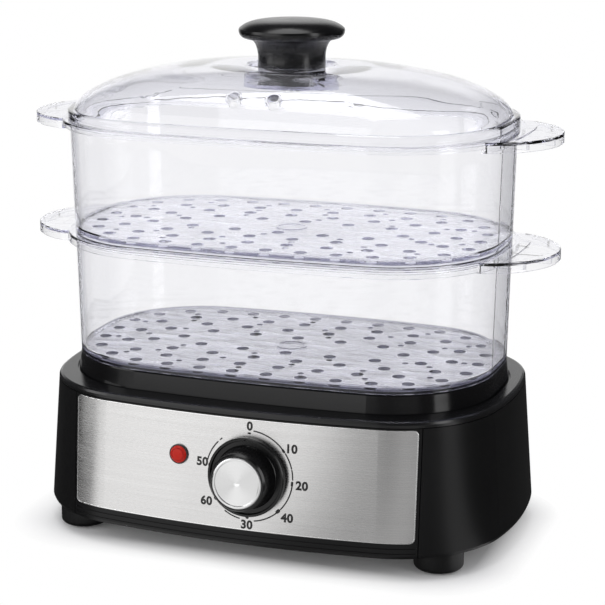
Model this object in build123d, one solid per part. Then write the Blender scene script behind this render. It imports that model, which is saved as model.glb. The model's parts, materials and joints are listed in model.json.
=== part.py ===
from build123d import *
import math
import os

# Two-tier oval food steamer.  Millimetres, +Z up, front towards -Y.
# The pieces are built about the middle of the baskets, on the table at Z = 0.  The last
# section then moves them along Y, so that the origin is under the middle of the whole.

# ---------------------------------------------------------------- driving sizes
# housing: an oval of tangent arcs that widens towards the table
BASE_LENGTH = 254.8          # deck outline along X
BASE_DEPTH = 169.4           # deck outline along Y
BASE_SIDE_R = 564.0          # bow of the long sides
BASE_END_R = 183.0           # bow of the ends
BASE_CORNER_R = 57.0
BASE_FLARE = 5.4             # how far the foot of the housing stands outside the deck
DECK_Z = 84.1                # top of the deck
HOUSING_BOTTOM_Z = 11.6      # lower edge of the housing
TOE_ROUND = 2.4              # rounding of that lower edge
BAND_HEIGHT = 3.1            # height of the deck's edge band above the seam
SEAM_GAP = 0.4               # joint lines between the housing mouldings
SKIN = 2.8                   # wall of the housing mouldings
PLATE = 2.2                  # wall of deck, basin and bottom plate
DECK_ROUND = 1.6
DECK_LIP = 1.6               # the deck's lip reaches this far down inside the housing
FIT_GAP = 0.3                # clearance between mouldings that slide into each other

# front bezel and steel fascia
BEZEL_END = 30.0             # from the ends of the deck outline to the seams of the front bezel
LAP = 7.0                    # how far the bezel's lap runs behind the side shell
LAP_THICK = 1.6
PANEL_MARGIN = 1.4           # bezel edge left and right of the fascia
PANEL_BOTTOM_Z = 20.5
PANEL_TOP_MARGIN = 0.5       # bezel edge above the fascia
PANEL_THICK = 0.8
PANEL_PROUD = 0.3
PANEL_CORNER = 2.6
RIB_PITCH = 2.6              # horizontal grooves below the fascia
RIB_DEPTH = 0.5
RIB_WIDTH = 0.6
RIB_COUNT = 2

# basin moulded into the deck
BASIN_MARGIN = 27.4          # from the ends of the deck outline to the basin
BASIN_DEPTH = 102.0
BASIN_CORNER_R = 48.0
BASIN_Y = 14.0
BASIN_FLOOR_Z = 46.0         # wet side of the basin floor
TRAY_RECESS = 1.2            # shallow recess of the deck that the drip tray stands in
TRAY_GROOVE = 0.9            # open groove left around the tray

# heater below the basin
HEATER_HOLE_R = 31.0
HEATER_CUP_R = 30.2
HEATER_FLANGE_R = 38.0
HEATER_SHEET = 1.5
SEAL_THICK = 1.2
ELEMENT_R = 20.5             # centre line of the heating tube
ELEMENT_TUBE_R = 3.4
ELEMENT_FLAT = 0.4           # the tube is flattened this much where it is brazed to the cup
ELEMENT_GAP_DEG = 50.0
PIN_DROP = 9.0               # sheath below the ring before the bare pin starts
PIN_LENGTH = 7.0
CLAMP_IN_R = 33.0
CLAMP_EAR_R = 43.5
CLAMP_THICK = 1.5
CLAMP_SCREW_R = 1.9
THERMOSTAT_R = 8.0
THERMOSTAT_H = 7.0
STRAP_WIDTH = 9.0
STRAP_THICK = 1.0
BLADE_X = 5.0                # blade terminals of the thermostat, off its middle
BLADE_OFFSET = 6.4
FUSE_X = 20.0
FUSE_R = 2.0
FUSE_LENGTH = 12.0
FUSE_WIRE = 4.0              # bare wire at each end of the fuse
CLIP_SHEET = 0.8

# feet
FOOT_END = 25.2              # foot centres from the ends of the deck outline
FOOT_SIDE = 28.8             # and from its long sides
FOOT_R = 13.2
FOOT_ROUND = 2.6
PAD_R = 9.0
PAD_RECESS = 1.4
PAD_PROUD = 1.0
FOOT_SCREW_R = 1.7
FOOT_BOSS_H = 7.0            # screw boss of each foot, on the bottom plate
LOUVRE_COUNT = 7             # air slots in the bottom plate
LOUVRE_PITCH = 6.0
LOUVRE_Y = -52.0
LOUVRE_LENGTH = 44.0
LOUVRE_WIDTH = 2.6
COVER_SCREW_END = 15.4       # from the ends of the deck outline
COVER_SCREW_Y = 40.0
COVER_SCREW_R = 1.9
BOSS_WALL = 2.6
SCREW_HEAD_R = 3.4
SCREW_HEAD_H = 2.2

# basket oval: tangent arcs again; the lower basket is a little smaller all round
RIM_STEP = 2.4               # the rim's ends stand inside the ends of the deck outline
RIM_DEPTH = 153.6
RIM_SIDE_R = 843.0
RIM_END_R = 450.0
RIM_CORNER_R = 64.0
LOWER_SHRINK = 1.7
LOWER_HEIGHT = 67.0          # shoulder to top of rim
UPPER_HEIGHT = 62.0
BASKET_WALL = 2.0
WALL_INSET_TOP = 4.0         # wall inside the rim's edge, at the rim
WALL_DRAFT = 1.5             # and this much more at the shoulder
RIM_PLATE = 1.8
RIM_LIP = 1.6                # wall of the rim's turned-down edge
LOWER_RIM_DROP = 5.2         # height of the turned-down edge
UPPER_RIM_DROP = 3.6
RIM_EDGE = 0.4               # broken edges of the rims and grips
NECK_STEP = 2.4              # the locating neck below the shoulder is this much smaller
NECK_DEPTH = 4.0
LOWER_NECK_DEPTH = 4.4       # the lower basket's neck, inside the ring of the tray
FLOOR_RISE = 2.6             # top of the perforated floor above the shoulder
FLOOR_THICK = 2.0
NEST_GAP = 0.4
HOLE_D = 7.0
HOLE_SMALL_D = 3.6
# rows of holes along ovals: inset from the floor's edge, count, and phase in pitches
HOLE_INSETS = (9.0, 23.5, 38.0, 52.0)
HOLE_COUNTS = (30, 22, 16, 12)
HOLE_PHASES = (0.0, 0.5, 0.0, 0.5)
HOLE_SMALL_INSETS = (16.5, 31.0, 45.5)
HOLE_SMALL_COUNTS = (15, 11, 8)
HOLE_SMALL_PHASES = (0.25, 0.75, 0.25)
BOSS_RING_R = 8.5            # moulded ring in the middle of each floor
BOSS_RING_WIDTH = 1.2
BOSS_RING_RISE = 0.5

# grips at the ends of each basket
GRIP_REACH = 23.6            # beyond the ends of the upper rim; the grips of both baskets reach as far
GRIP_R = 42.0
GRIP_HALF = 39.5             # the grips are cut off this far from their middle
GRIP_DROP = 5.6
GRIP_RELIEF_INSET = 5.5
GRIP_RELIEF_GAP = 6.0        # between the rim and the relief
GRIP_RELIEF_DEPTH = 0.5
GRIP_RIB_Y = (-27.0, -9.0, 9.0, 27.0)
GRIP_RIB = 1.6

# drip tray with its raised ring
TRAY_RING_TOP_Z = 94.4
TRAY_OUT_BOTTOM = 5.6        # inset of the ring from the rim oval, at the deck
TRAY_ROUND = 1.0
TRAY_FLOOR = 2.0
CHIMNEY_R = 26.0
CHIMNEY_WALL = 2.0
CHIMNEY_TOP_GAP = 3.0        # clear height between chimney cap and basket floor
CHIMNEY_WINDOWS = 8
SLEEVE_R = 42.5
SLEEVE_GAP = 4.0             # water gap under the steam sleeve
SLEEVE_NOTCHES = 6

# lid
LID_RIM_INSET = 2.9
LID_RIM_HEIGHT = 5.2
LID_RIM_WIDTH = 3.4
LID_WALL = 2.5
LID_LIP_DEPTH = 3.0
CROWN_RISE = 25.6            # height of the crown above the foot of the dome
DOME_FOOT = 4.2              # height of the dome's foot above the rim plane
DOME_SHOULDER = 2.2          # exponents of the dome's section
DOME_FULLNESS = 1.744
DOME_STEPS = (0.0, 0.02, 0.07, 0.15, 0.28, 0.45, 0.65, 0.85, 1.0)   # sections, foot to crown
CROWN_FLAT_R = 26.0
WELL_R = 23.2
WELL_DEPTH = 8.4
WELL_LEAD = 1.4
VENT_X = 10.8
VENT_MIDDLE_X = 2.0          # the pair stands this much off the middle
VENT_Y = -61.6
VENT_R = 3.3
VENT_COLLAR = 1.1            # width of the raised collar around each vent
VENT_RISE = 1.2              # and its height above the dome
VENT_TILT = 28.0

# lid knob
KNOB_STEM_R = 18.1
KNOB_STEM_H = 12.0           # straight part of the stem, before it flares
KNOB_RIM_ROUND = 4.5         # the flare ends this far inside the disc's edge
KNOB_RIM_DROP = 3.2          # and this far below its widest part
KNOB_BROW = 1.7              # edge of the disc's top face above its widest part
KNOB_DISC_R = 28.4
KNOB_DISC_Z = 25.8           # widest part above the well floor
KNOB_HEIGHT = 32.6
KNOB_WALL = 3.0
KNOB_BOSS_R = 5.0
KNOB_SCREW_R = 2.0
KNOB_SCREW_HEAD_R = 4.2
KNOB_SCREW_HEAD_H = 2.4
WASHER_R = 6.5
WASHER_THICK = 1.0

# timer and its knob
TIMER_X = 8.0
TIMER_Z = 50.0
TIMER_SIZE = 42.0
TIMER_THICK = 20.0
TIMER_STANDOFF = 6.4         # bracket behind the face of the fascia
BRACKET_THICK = 1.2
BRACKET_LENGTH = 62.0
BRACKET_HEIGHT = 30.0
TIMER_SCREW_X = 26.0
TIMER_SCREW_R = 1.5
BUSH_R = 4.5
SHAFT_R = 3.0
SHAFT_PLAY = 0.05
SHAFT_FLAT = 0.8
BELL_R = 18.0
BELL_DEPTH = 7.0
BELL_SHEET = 0.8
BELL_POST_R = 2.0
DIAL_GAP = 0.8
SKIRT_R = 21.0
SKIRT_THICK = 2.6
SKIRT_LIP = 1.4
GRIP_BASE_R = 16.4
GRIP_TOP_R = 15.2
DIAL_HEIGHT = 17.0           # face of the timer knob in front of the fascia
FLUTES = 56
FLUTE_R = 0.5
FLUTE_DEPTH = 0.25
FLUTE_STOP = 2.4             # plain rim in front of the flutes
CAP_R = 13.4
CAP_THICK = 1.0

# blade terminals and insulated leads
TAB_WIDTH = 4.0
TAB_THICK = 0.8
TAB_LENGTH = 6.0
LEAD_R = 1.1
LEAD_END = 9.0               # straight run out of a terminal
LAMP_LEAD_GAP = 6.2          # middle of the lamp's leads from the basin, where they turn
TAB_LEAD_GAP = 0.15          # the leads that meet the timer's tabs at an angle stop this short

# indicator lamp
LAMP_X = -31.5
LAMP_Z = 57.1
LAMP_FLANGE_R = 5.3
LAMP_BARREL_R = 4.2
LAMP_BARREL_WALL = 0.7
LAMP_LENGTH = 15.0
LAMP_FLOOR = 2.0             # closed rear end of the barrel, where the bulb stands
LENS_R = 4.6
LENS_RISE = 1.7
LAMP_CLIP = 13.0
NEON_R = 2.3
NEON_LENGTH = 9.0

# mains inlet and terminal block
GLAND_X = 62.0
GLAND_Z = 27.0
GLAND_BORE_R = 3.6
GLAND_R = 6.0
GLAND_FLANGE_R = 8.0
BLOCK_X = 62.0
BLOCK_REAR = 32.7            # from the rear of the deck outline
BLOCK_LENGTH = 30.0
BLOCK_DEPTH = 16.0
BLOCK_HEIGHT = 13.0
BLOCK_POLES = 3
BLOCK_SCREW_R = 1.9
BLOCK_SEAT = 2.0             # bosses under the block
BLOCK_BASE = 4.0             # web that joins the poles
SLEEVE_LEVEL = 8.0           # axis of the clamping sleeves above the block's foot

# ---------------------------------------------------------------- derived places
BEZEL_HALF = BASE_LENGTH / 2 - BEZEL_END
BASIN_LENGTH = BASE_LENGTH - 2 * BASIN_MARGIN
BASIN_FRONT_Y = BASIN_Y - BASIN_DEPTH / 2 - PLATE
FOOT_X = BASE_LENGTH / 2 - FOOT_END
FOOT_Y = BASE_DEPTH / 2 - FOOT_SIDE
COVER_SCREW_X = BASE_LENGTH / 2 - COVER_SCREW_END
RIM_LENGTH = BASE_LENGTH - 2 * RIM_STEP
GRIP_TIP_X = RIM_LENGTH / 2 + GRIP_REACH
BLOCK_Y = BASE_DEPTH / 2 - BLOCK_REAR
FLARE_TOP_Z = DECK_Z
FLARE_BOTTOM_Z = HOUSING_BOTTOM_Z + TOE_ROUND
SEAM_Z = DECK_Z - BAND_HEIGHT
SHELL_TOP_Z = SEAM_Z - SEAM_GAP
LIP_Z = SEAM_Z - DECK_LIP
PANEL_TOP_Z = SHELL_TOP_Z - PANEL_TOP_MARGIN
TRAY_SEAT_Z = DECK_Z - TRAY_RECESS
LOWER_RIM_Z = TRAY_RING_TOP_Z + LOWER_HEIGHT
UPPER_RIM_Z = LOWER_RIM_Z + UPPER_HEIGHT
DOME_Z = UPPER_RIM_Z + DOME_FOOT
CROWN_Z = DOME_Z + CROWN_RISE
WELL_FLOOR_Z = CROWN_Z - WELL_DEPTH
BASIN_UNDER_Z = BASIN_FLOOR_Z - PLATE
SEAL_UNDER_Z = BASIN_UNDER_Z - SEAL_THICK
HEATER_UNDER_Z = SEAL_UNDER_Z - HEATER_SHEET
CLAMP_UNDER_Z = HEATER_UNDER_Z - CLAMP_THICK
HEATER_TOP_Z = BASIN_FLOOR_Z + 0.8
CUP_UNDER_Z = HEATER_TOP_Z - HEATER_SHEET
BOTTOM_TOP_Z = HOUSING_BOTTOM_Z + PLATE
WALL_INSET_FOOT = WALL_INSET_TOP + WALL_DRAFT
NECK_INSET = WALL_INSET_FOOT + NECK_STEP
TILT = math.degrees(math.atan(BASE_FLARE / (FLARE_TOP_Z - FLARE_BOTTOM_Z)))
EPS = 0.01


# ---------------------------------------------------------------- shared shapes
def arc_oval(half_l, half_d, side_r, end_r, corner_r):
    """Closed outline of eight tangent arcs: two sides, two ends, four corners."""
    corner_r = min(corner_r, half_d - 1.0, half_l - 1.0)
    end_c = Vector(half_l - end_r, 0)
    side_c = Vector(0, half_d - side_r)
    reach_e = end_r - corner_r
    reach_s = side_r - corner_r
    gap = (side_c - end_c).length
    along = (reach_e ** 2 - reach_s ** 2 + gap ** 2) / (2 * gap)
    off = math.sqrt(reach_e ** 2 - along ** 2)
    unit = (side_c - end_c).normalized()
    centre = end_c + unit * along + Vector(-unit.Y, unit.X) * off
    other = end_c + unit * along - Vector(-unit.Y, unit.X) * off
    if other.X + other.Y > centre.X + centre.Y:
        centre = other
    end_join = end_c + (centre - end_c).normalized() * end_r
    side_join = side_c + (centre - side_c).normalized() * side_r
    outward = ((end_join - centre) + (side_join - centre)).normalized()
    corner_mid = centre + outward * corner_r

    def corner(sx, sy):
        """Corner arc of one quadrant, drawn anticlockwise."""
        points = [(sx * p.X, sy * p.Y) for p in (end_join, corner_mid, side_join)]
        return ThreePointArc(*(points if sx * sy > 0 else reversed(points)))

    def end_arc(s):
        x, y = s * end_join.X, s * end_join.Y
        return ThreePointArc((x, -y), (s * half_l, 0), (x, y))

    def side_arc(s):
        x, y = s * side_join.X, s * side_join.Y
        return ThreePointArc((x, y), (0, s * half_d), (-x, y))

    first_half = [end_arc(1), corner(1, 1), side_arc(1), corner(-1, 1)]
    return make_face(first_half + [end_arc(-1), corner(-1, -1), side_arc(-1), corner(1, -1)])


def rim_face(inset):
    """Basket oval, inset from the edge of the upper basket's rim."""
    return arc_oval(
        RIM_LENGTH / 2 - inset,
        RIM_DEPTH / 2 - inset,
        RIM_SIDE_R - inset,
        RIM_END_R - inset,
        RIM_CORNER_R - inset,
    )


def flare_at(z):
    return BASE_FLARE * (FLARE_TOP_Z - z) / (FLARE_TOP_Z - FLARE_BOTTOM_Z)


def base_face(inset):
    """Housing oval, inset from the deck's outline."""
    return arc_oval(
        BASE_LENGTH / 2 - inset,
        BASE_DEPTH / 2 - inset,
        BASE_SIDE_R - inset,
        BASE_END_R - inset,
        BASE_CORNER_R - inset,
    )


def basin_face(grow):
    half_l = BASIN_LENGTH / 2 + grow
    half_d = BASIN_DEPTH / 2 + grow
    return Pos(0, BASIN_Y) * RectangleRounded(2 * half_l, 2 * half_d, BASIN_CORNER_R + grow)


def stack(face_of, profile):
    """Solid through ovals at (inset, height) pairs, straight between them."""
    return loft([Pos(0, 0, z) * face_of(inset) for inset, z in profile], ruled=True)


def prism(face, z0, z1):
    return extrude(Pos(0, 0, z0) * face, z1 - z0)


def rod(r, z0, z1, x=0.0, y=0.0):
    return Pos(x, y, (z0 + z1) / 2) * Cylinder(r, z1 - z0)


def tube(r_out, r_in, z0, z1, x=0.0, y=0.0):
    return rod(r_out, z0, z1, x, y) - rod(r_in, z0 - 1, z1 + 1, x, y)


def block(x0, x1, y0, y1, z0, z1):
    return Pos((x0 + x1) / 2, (y0 + y1) / 2, (z0 + z1) / 2) * Box(x1 - x0, y1 - y0, z1 - z0)


def turned(points):
    """Solid of revolution about Z from (radius, height) points."""
    wire = Polyline(*[(r, 0, z) for r, z in points], close=True)
    return revolve(make_face(wire), Axis.Z)


def front_y(x, z, inset=0.0):
    """Y of the housing's front face at (x, z)."""
    grow = flare_at(z) - inset
    bow = BASE_SIDE_R + grow
    return -(BASE_DEPTH / 2 + grow) + bow - math.sqrt(bow ** 2 - x ** 2)


def on_fascia(x, z):
    """Frame on the face of the fascia: local +Z points out of it, local +Y up it."""
    bow = BASE_SIDE_R + flare_at(z) + PANEL_PROUD
    turn = math.degrees(math.asin(x / bow))
    return Pos(x, front_y(x, z, -PANEL_PROUD), z) * Rot(0, 0, turn) * Rot(90 - TILT, 0, 0)


def housing(inset, z0, z1):
    """Solid inside the housing's flared outer face, from z0 up to z1."""
    profile = []
    if z0 < FLARE_BOTTOM_Z:
        profile.append((inset - flare_at(FLARE_BOTTOM_Z) + TOE_ROUND, z0))
        profile.append((inset - flare_at(FLARE_BOTTOM_Z) + TOE_ROUND * 0.3, z0 + TOE_ROUND * 0.3))
        profile.append((inset - flare_at(FLARE_BOTTOM_Z), FLARE_BOTTOM_Z))
    else:
        profile.append((inset - flare_at(z0), z0))
    profile.append((inset - flare_at(z1), z1))
    return stack(base_face, profile)


def housing_core(inset, z0, z1):
    """As housing, but without the rounded toe, for the inside of the walls."""
    return stack(base_face, [(inset - flare_at(z0), z0), (inset - flare_at(z1), z1)])


parts = {}

# ---------------------------------------------------------------- housing mouldings
skin = housing(0, HOUSING_BOTTOM_Z, SHELL_TOP_Z)
skin -= housing_core(SKIN, HOUSING_BOTTOM_Z - 1, SHELL_TOP_Z + 1)

front_zone = block(-BEZEL_HALF, BEZEL_HALF, -BASE_DEPTH, 0, 0, DECK_Z)
seams = [
    block(s * BEZEL_HALF - SEAM_GAP / 2, s * BEZEL_HALF + SEAM_GAP / 2, -BASE_DEPTH, 0, 0, DECK_Z)
    for s in (-1, 1)
]
gland_y = -front_y(GLAND_X, GLAND_Z)
gland_loc = Pos(GLAND_X, gland_y, GLAND_Z) * Rot(-90 + TILT, 0, 0)
body_shell = skin - front_zone - seams
body_shell -= gland_loc * Cylinder(GLAND_R + 0.1, 6 * SKIN)
parts["body_shell"] = body_shell

panel_half = BEZEL_HALF - PANEL_MARGIN
panel_height = PANEL_TOP_Z - PANEL_BOTTOM_Z
panel_mid_z = (PANEL_TOP_Z + PANEL_BOTTOM_Z) / 2


def panel_block(shrink):
    """Rounded-rectangle block that cuts the fascia's outline out of the front face."""
    outline = RectangleRounded(2 * (panel_half - shrink), panel_height - 2 * shrink, PANEL_CORNER)
    return extrude(Pos(0, 0, panel_mid_z) * Rot(90, 0, 0) * outline, BASE_DEPTH)


timer_loc = on_fascia(TIMER_X, TIMER_Z)
lamp_loc = on_fascia(LAMP_X, LAMP_Z)
bezel = (skin & front_zone) - seams
lap_z0 = BOTTOM_TOP_Z + FIT_GAP
lap_z1 = LIP_Z - FIT_GAP
lap_inside = housing_core(SKIN + LAP_THICK, lap_z0 - 1, DECK_Z)
lap_band = housing_core(SKIN - EPS, lap_z0, lap_z1) - lap_inside
lap_behind = housing_core(SKIN + FIT_GAP, lap_z0, lap_z1) - lap_inside
for s in (-1, 1):
    x_in = s * (BEZEL_HALF - LAP)
    x_seam = s * (BEZEL_HALF - SEAM_GAP / 2)
    x_out = s * (BEZEL_HALF + LAP)
    bezel += lap_band & block(min(x_in, x_seam), max(x_in, x_seam), -BASE_DEPTH, 0, 0, DECK_Z)
    bezel += lap_behind & block(min(x_in, x_out), max(x_in, x_out), -BASE_DEPTH, 0, 0, DECK_Z)
recess = housing_core(-5, 0, DECK_Z) - housing_core(PANEL_THICK - PANEL_PROUD, -1, DECK_Z + 1)
bezel -= recess & panel_block(0)
for k in range(RIB_COUNT):
    z_rib = PANEL_BOTTOM_Z - RIB_PITCH * (k + 1)
    groove = housing_core(-1, z_rib - RIB_WIDTH / 2, z_rib + RIB_WIDTH / 2)
    groove -= housing_core(RIB_DEPTH, z_rib - RIB_WIDTH, z_rib + RIB_WIDTH)
    bezel -= groove & block(-panel_half, panel_half, -BASE_DEPTH, 0, 0, DECK_Z)
for s in (-1, 1):
    bezel += timer_loc * Pos(s * TIMER_SCREW_X, 0, -(SKIN + TIMER_STANDOFF) / 2) * Cylinder(
        TIMER_SCREW_R + BOSS_WALL, TIMER_STANDOFF - SKIN
    )
    bezel -= timer_loc * Pos(s * TIMER_SCREW_X, 0, -TIMER_STANDOFF / 2 - SKIN / 2) * Cylinder(
        TIMER_SCREW_R + 0.05, TIMER_STANDOFF - SKIN + 2 * EPS
    )
bezel -= timer_loc * Cylinder(BUSH_R + 1.0, 4 * SKIN)
bezel -= lamp_loc * Cylinder(LAMP_BARREL_R + 0.2, 6 * SKIN)
parts["front_bezel"] = bezel

fascia = housing(-PANEL_PROUD, PANEL_BOTTOM_Z - 1, PANEL_TOP_Z + 1)
fascia -= housing_core(PANEL_THICK - PANEL_PROUD, PANEL_BOTTOM_Z - 2, PANEL_TOP_Z + 2)
fascia &= panel_block(FIT_GAP / 2)
fascia -= timer_loc * Cylinder(BUSH_R + 1.0, 4 * SKIN)
fascia -= lamp_loc * Cylinder(LAMP_BARREL_R + 0.2, 6 * SKIN)
parts["front_panel"] = fascia

# deck with its edge band, the tray's recess and the basin, one moulding
recess_inset = TRAY_OUT_BOTTOM - TRAY_GROOVE
deck = stack(
    base_face,
    [
        (-flare_at(SEAM_Z), SEAM_Z),
        (-flare_at(DECK_Z - DECK_ROUND), DECK_Z - DECK_ROUND),
        (DECK_ROUND * 0.3, DECK_Z - DECK_ROUND * 0.3),
        (DECK_ROUND, DECK_Z),
    ],
)
deck -= prism(rim_face(recess_inset), TRAY_SEAT_Z, DECK_Z + 1)
deck -= prism(base_face(SKIN + PLATE), SEAM_Z - 1, TRAY_SEAT_Z - PLATE)
deck += prism(rim_face(recess_inset - PLATE), TRAY_SEAT_Z - PLATE, TRAY_SEAT_Z)
lip = prism(base_face(SKIN + FIT_GAP), LIP_Z, SEAM_Z + EPS)
deck += lip - prism(base_face(SKIN + PLATE), LIP_Z - 1, DECK_Z)
deck -= prism(basin_face(0), BASIN_UNDER_Z, DECK_Z)
deck += prism(basin_face(PLATE), BASIN_UNDER_Z, TRAY_SEAT_Z) - prism(basin_face(0), BASIN_FLOOR_Z, DECK_Z)
post_top = TRAY_SEAT_Z - PLATE
cover_posts = [(sx * COVER_SCREW_X, sy * COVER_SCREW_Y) for sx in (-1, 1) for sy in (-1, 1)]
for x, y in cover_posts:
    deck += rod(COVER_SCREW_R + BOSS_WALL, BOTTOM_TOP_Z, post_top + EPS, x, y)
    deck -= rod(COVER_SCREW_R + 0.05, BOTTOM_TOP_Z - 1, BOTTOM_TOP_Z + 12, x, y)
clamp_ears = [
    (CLAMP_EAR_R * math.cos(math.radians(a)), BASIN_Y + CLAMP_EAR_R * math.sin(math.radians(a)))
    for a in (30, 150, 270)
]
for x, y in clamp_ears:
    deck += rod(CLAMP_SCREW_R + BOSS_WALL, CLAMP_UNDER_Z + CLAMP_THICK, BASIN_UNDER_Z + EPS, x, y)
    deck -= rod(CLAMP_SCREW_R + 0.05, CLAMP_UNDER_Z, BASIN_FLOOR_Z - 1.0, x, y)
deck -= rod(HEATER_HOLE_R, BASIN_UNDER_Z - 1, BASIN_FLOOR_Z + 1, 0, BASIN_Y)
parts["water_tank"] = deck

# bottom plate
plate_inset = SKIN + FIT_GAP
cover = stack(
    base_face,
    [(plate_inset - flare_at(z), z) for z in (HOUSING_BOTTOM_Z, BOTTOM_TOP_Z)],
)
for x, y in cover_posts:
    cover -= rod(COVER_SCREW_R + 0.1, 0, DECK_Z, x, y)
feet = {
    "foot_front_left": (-FOOT_X, -FOOT_Y),
    "foot_front_right": (FOOT_X, -FOOT_Y),
    "foot_rear_left": (-FOOT_X, FOOT_Y),
    "foot_rear_right": (FOOT_X, FOOT_Y),
}
for x, y in feet.values():
    cover += rod(FOOT_SCREW_R + BOSS_WALL, BOTTOM_TOP_Z - EPS, BOTTOM_TOP_Z + FOOT_BOSS_H, x, y)
    cover -= rod(FOOT_SCREW_R + 0.05, 0, BOTTOM_TOP_Z + FOOT_BOSS_H - 1, x, y)
louvre = extrude(SlotOverall(LOUVRE_LENGTH, LOUVRE_WIDTH), PLATE)
for k in range(LOUVRE_COUNT):
    cover -= Pos(TIMER_X, LOUVRE_Y + LOUVRE_PITCH * k, HOUSING_BOTTOM_Z) * louvre
block_z = BOTTOM_TOP_Z + BLOCK_SEAT
for s in (-1, 1):
    x = BLOCK_X + s * BLOCK_LENGTH / 3
    cover += rod(BLOCK_SCREW_R + BOSS_WALL, BOTTOM_TOP_Z - EPS, block_z, x, BLOCK_Y)
    cover -= rod(BLOCK_SCREW_R, BOTTOM_TOP_Z - 1, block_z + 1, x, BLOCK_Y)
parts["bottom_cover"] = cover

foot_bottom = PAD_PROUD
for name, (x, y) in feet.items():
    foot = rod(FOOT_R, foot_bottom, HOUSING_BOTTOM_Z, x, y)
    foot = fillet(foot.edges().filter_by(GeomType.CIRCLE).sort_by(Axis.Z)[0], FOOT_ROUND)
    foot -= rod(PAD_R + 0.1, 0, foot_bottom + PAD_RECESS, x, y)
    foot -= rod(SCREW_HEAD_R + 0.2, 0, foot_bottom + PAD_RECESS + SCREW_HEAD_H + 0.3, x, y)
    foot -= rod(FOOT_SCREW_R + 0.1, 0, HOUSING_BOTTOM_Z + 1, x, y)
    parts[name] = foot
parts["foot_pads"] = [
    chamfer(rod(PAD_R, 0, foot_bottom + PAD_RECESS, x, y).edges().sort_by(Axis.Z)[0], 0.4)
    for x, y in feet.values()
]
head_z = foot_bottom + PAD_RECESS + 0.3


def screw(r, head_z0, tip_z, x, y, head_r=SCREW_HEAD_R, head_h=SCREW_HEAD_H):
    """Pan-head screw pointing up, head at head_z0."""
    head = rod(head_r, head_z0, head_z0 + head_h, x, y)
    head -= Pos(x, y, head_z0) * Box(head_r * 1.1, head_r * 0.3, head_h)
    head -= Pos(x, y, head_z0) * Box(head_r * 0.3, head_r * 1.1, head_h)
    return head + rod(r, head_z0 + head_h - EPS, tip_z, x, y)


parts["foot_screws"] = [
    screw(FOOT_SCREW_R, head_z, BOTTOM_TOP_Z + FOOT_BOSS_H - 2, x, y) for x, y in feet.values()
]
parts["cover_screws"] = [
    screw(COVER_SCREW_R, HOUSING_BOTTOM_Z - SCREW_HEAD_H, BOTTOM_TOP_Z + 10, x, y) for x, y in cover_posts
]

# ---------------------------------------------------------------- heater
heater = turned(
    [
        (0, CUP_UNDER_Z),
        (HEATER_CUP_R - HEATER_SHEET, CUP_UNDER_Z),
        (HEATER_CUP_R - HEATER_SHEET, HEATER_UNDER_Z),
        (HEATER_FLANGE_R, HEATER_UNDER_Z),
        (HEATER_FLANGE_R, SEAL_UNDER_Z),
        (HEATER_CUP_R, SEAL_UNDER_Z),
        (HEATER_CUP_R, HEATER_TOP_Z),
        (0, HEATER_TOP_Z),
    ]
)
parts["heater_plate"] = Pos(0, BASIN_Y, 0) * heater
parts["heater_seal"] = tube(HEATER_FLANGE_R, HEATER_HOLE_R + 0.2, SEAL_UNDER_Z, BASIN_UNDER_Z, 0, BASIN_Y)
element_z = CUP_UNDER_Z - ELEMENT_TUBE_R + ELEMENT_FLAT
section = Pos(ELEMENT_R, 0, element_z) * Rot(90, 0, 0) * Circle(ELEMENT_TUBE_R)
half_gap = ELEMENT_GAP_DEG / 2
coil = Rot(0, 0, half_gap - 90) * revolve(section, Axis.Z, 360 - ELEMENT_GAP_DEG)
for s in (-1, 1):
    a = math.radians(-90 + s * half_gap)
    px = ELEMENT_R * math.cos(a)
    py = ELEMENT_R * math.sin(a)
    coil += rod(ELEMENT_TUBE_R, element_z - PIN_DROP, element_z, px, py)
    coil += Pos(px, py, element_z) * Sphere(ELEMENT_TUBE_R)
    coil += rod(1.5, element_z - PIN_DROP - PIN_LENGTH, element_z - PIN_DROP, px, py)
coil -= rod(2 * ELEMENT_R, CUP_UNDER_Z, DECK_Z)
parts["heater_element"] = Pos(0, BASIN_Y, 0) * coil
clamp = tube(HEATER_FLANGE_R + 0.6, CLAMP_IN_R, CLAMP_UNDER_Z, HEATER_UNDER_Z, 0, BASIN_Y)
for x, y in clamp_ears:
    clamp += rod(CLAMP_SCREW_R + BOSS_WALL, CLAMP_UNDER_Z, HEATER_UNDER_Z, x, y)
    toward = math.degrees(math.atan2(y - BASIN_Y, x))
    ear = Box(CLAMP_EAR_R - CLAMP_IN_R, 2 * (CLAMP_SCREW_R + BOSS_WALL), CLAMP_THICK)
    ear = Pos((CLAMP_EAR_R + CLAMP_IN_R) / 2, 0, CLAMP_UNDER_Z + CLAMP_THICK / 2) * ear
    clamp += Pos(0, BASIN_Y, 0) * Rot(0, 0, toward) * ear
for x, y in clamp_ears:
    clamp -= rod(CLAMP_SCREW_R + 0.1, 0, DECK_Z, x, y)
clamp -= rod(CLAMP_IN_R, 0, DECK_Z, 0, BASIN_Y)
earth_tip = HEATER_FLANGE_R + 0.6 + TAB_LENGTH
earth_y = TAB_WIDTH / 2
clamp += block(
    HEATER_FLANGE_R, earth_tip, BASIN_Y - earth_y, BASIN_Y + earth_y, CLAMP_UNDER_Z, CLAMP_UNDER_Z + TAB_THICK
)
parts["heater_clamp"] = clamp
parts["heater_screws"] = [
    screw(CLAMP_SCREW_R, CLAMP_UNDER_Z - SCREW_HEAD_H, BASIN_FLOOR_Z - 1.4, x, y) for x, y in clamp_ears
]
thermo_under = CUP_UNDER_Z - THERMOSTAT_H
thermostat = rod(THERMOSTAT_R, thermo_under, CUP_UNDER_Z, 0, BASIN_Y)
blade_y = BASIN_Y + BLADE_OFFSET
blade_z = thermo_under - TAB_LENGTH
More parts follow.
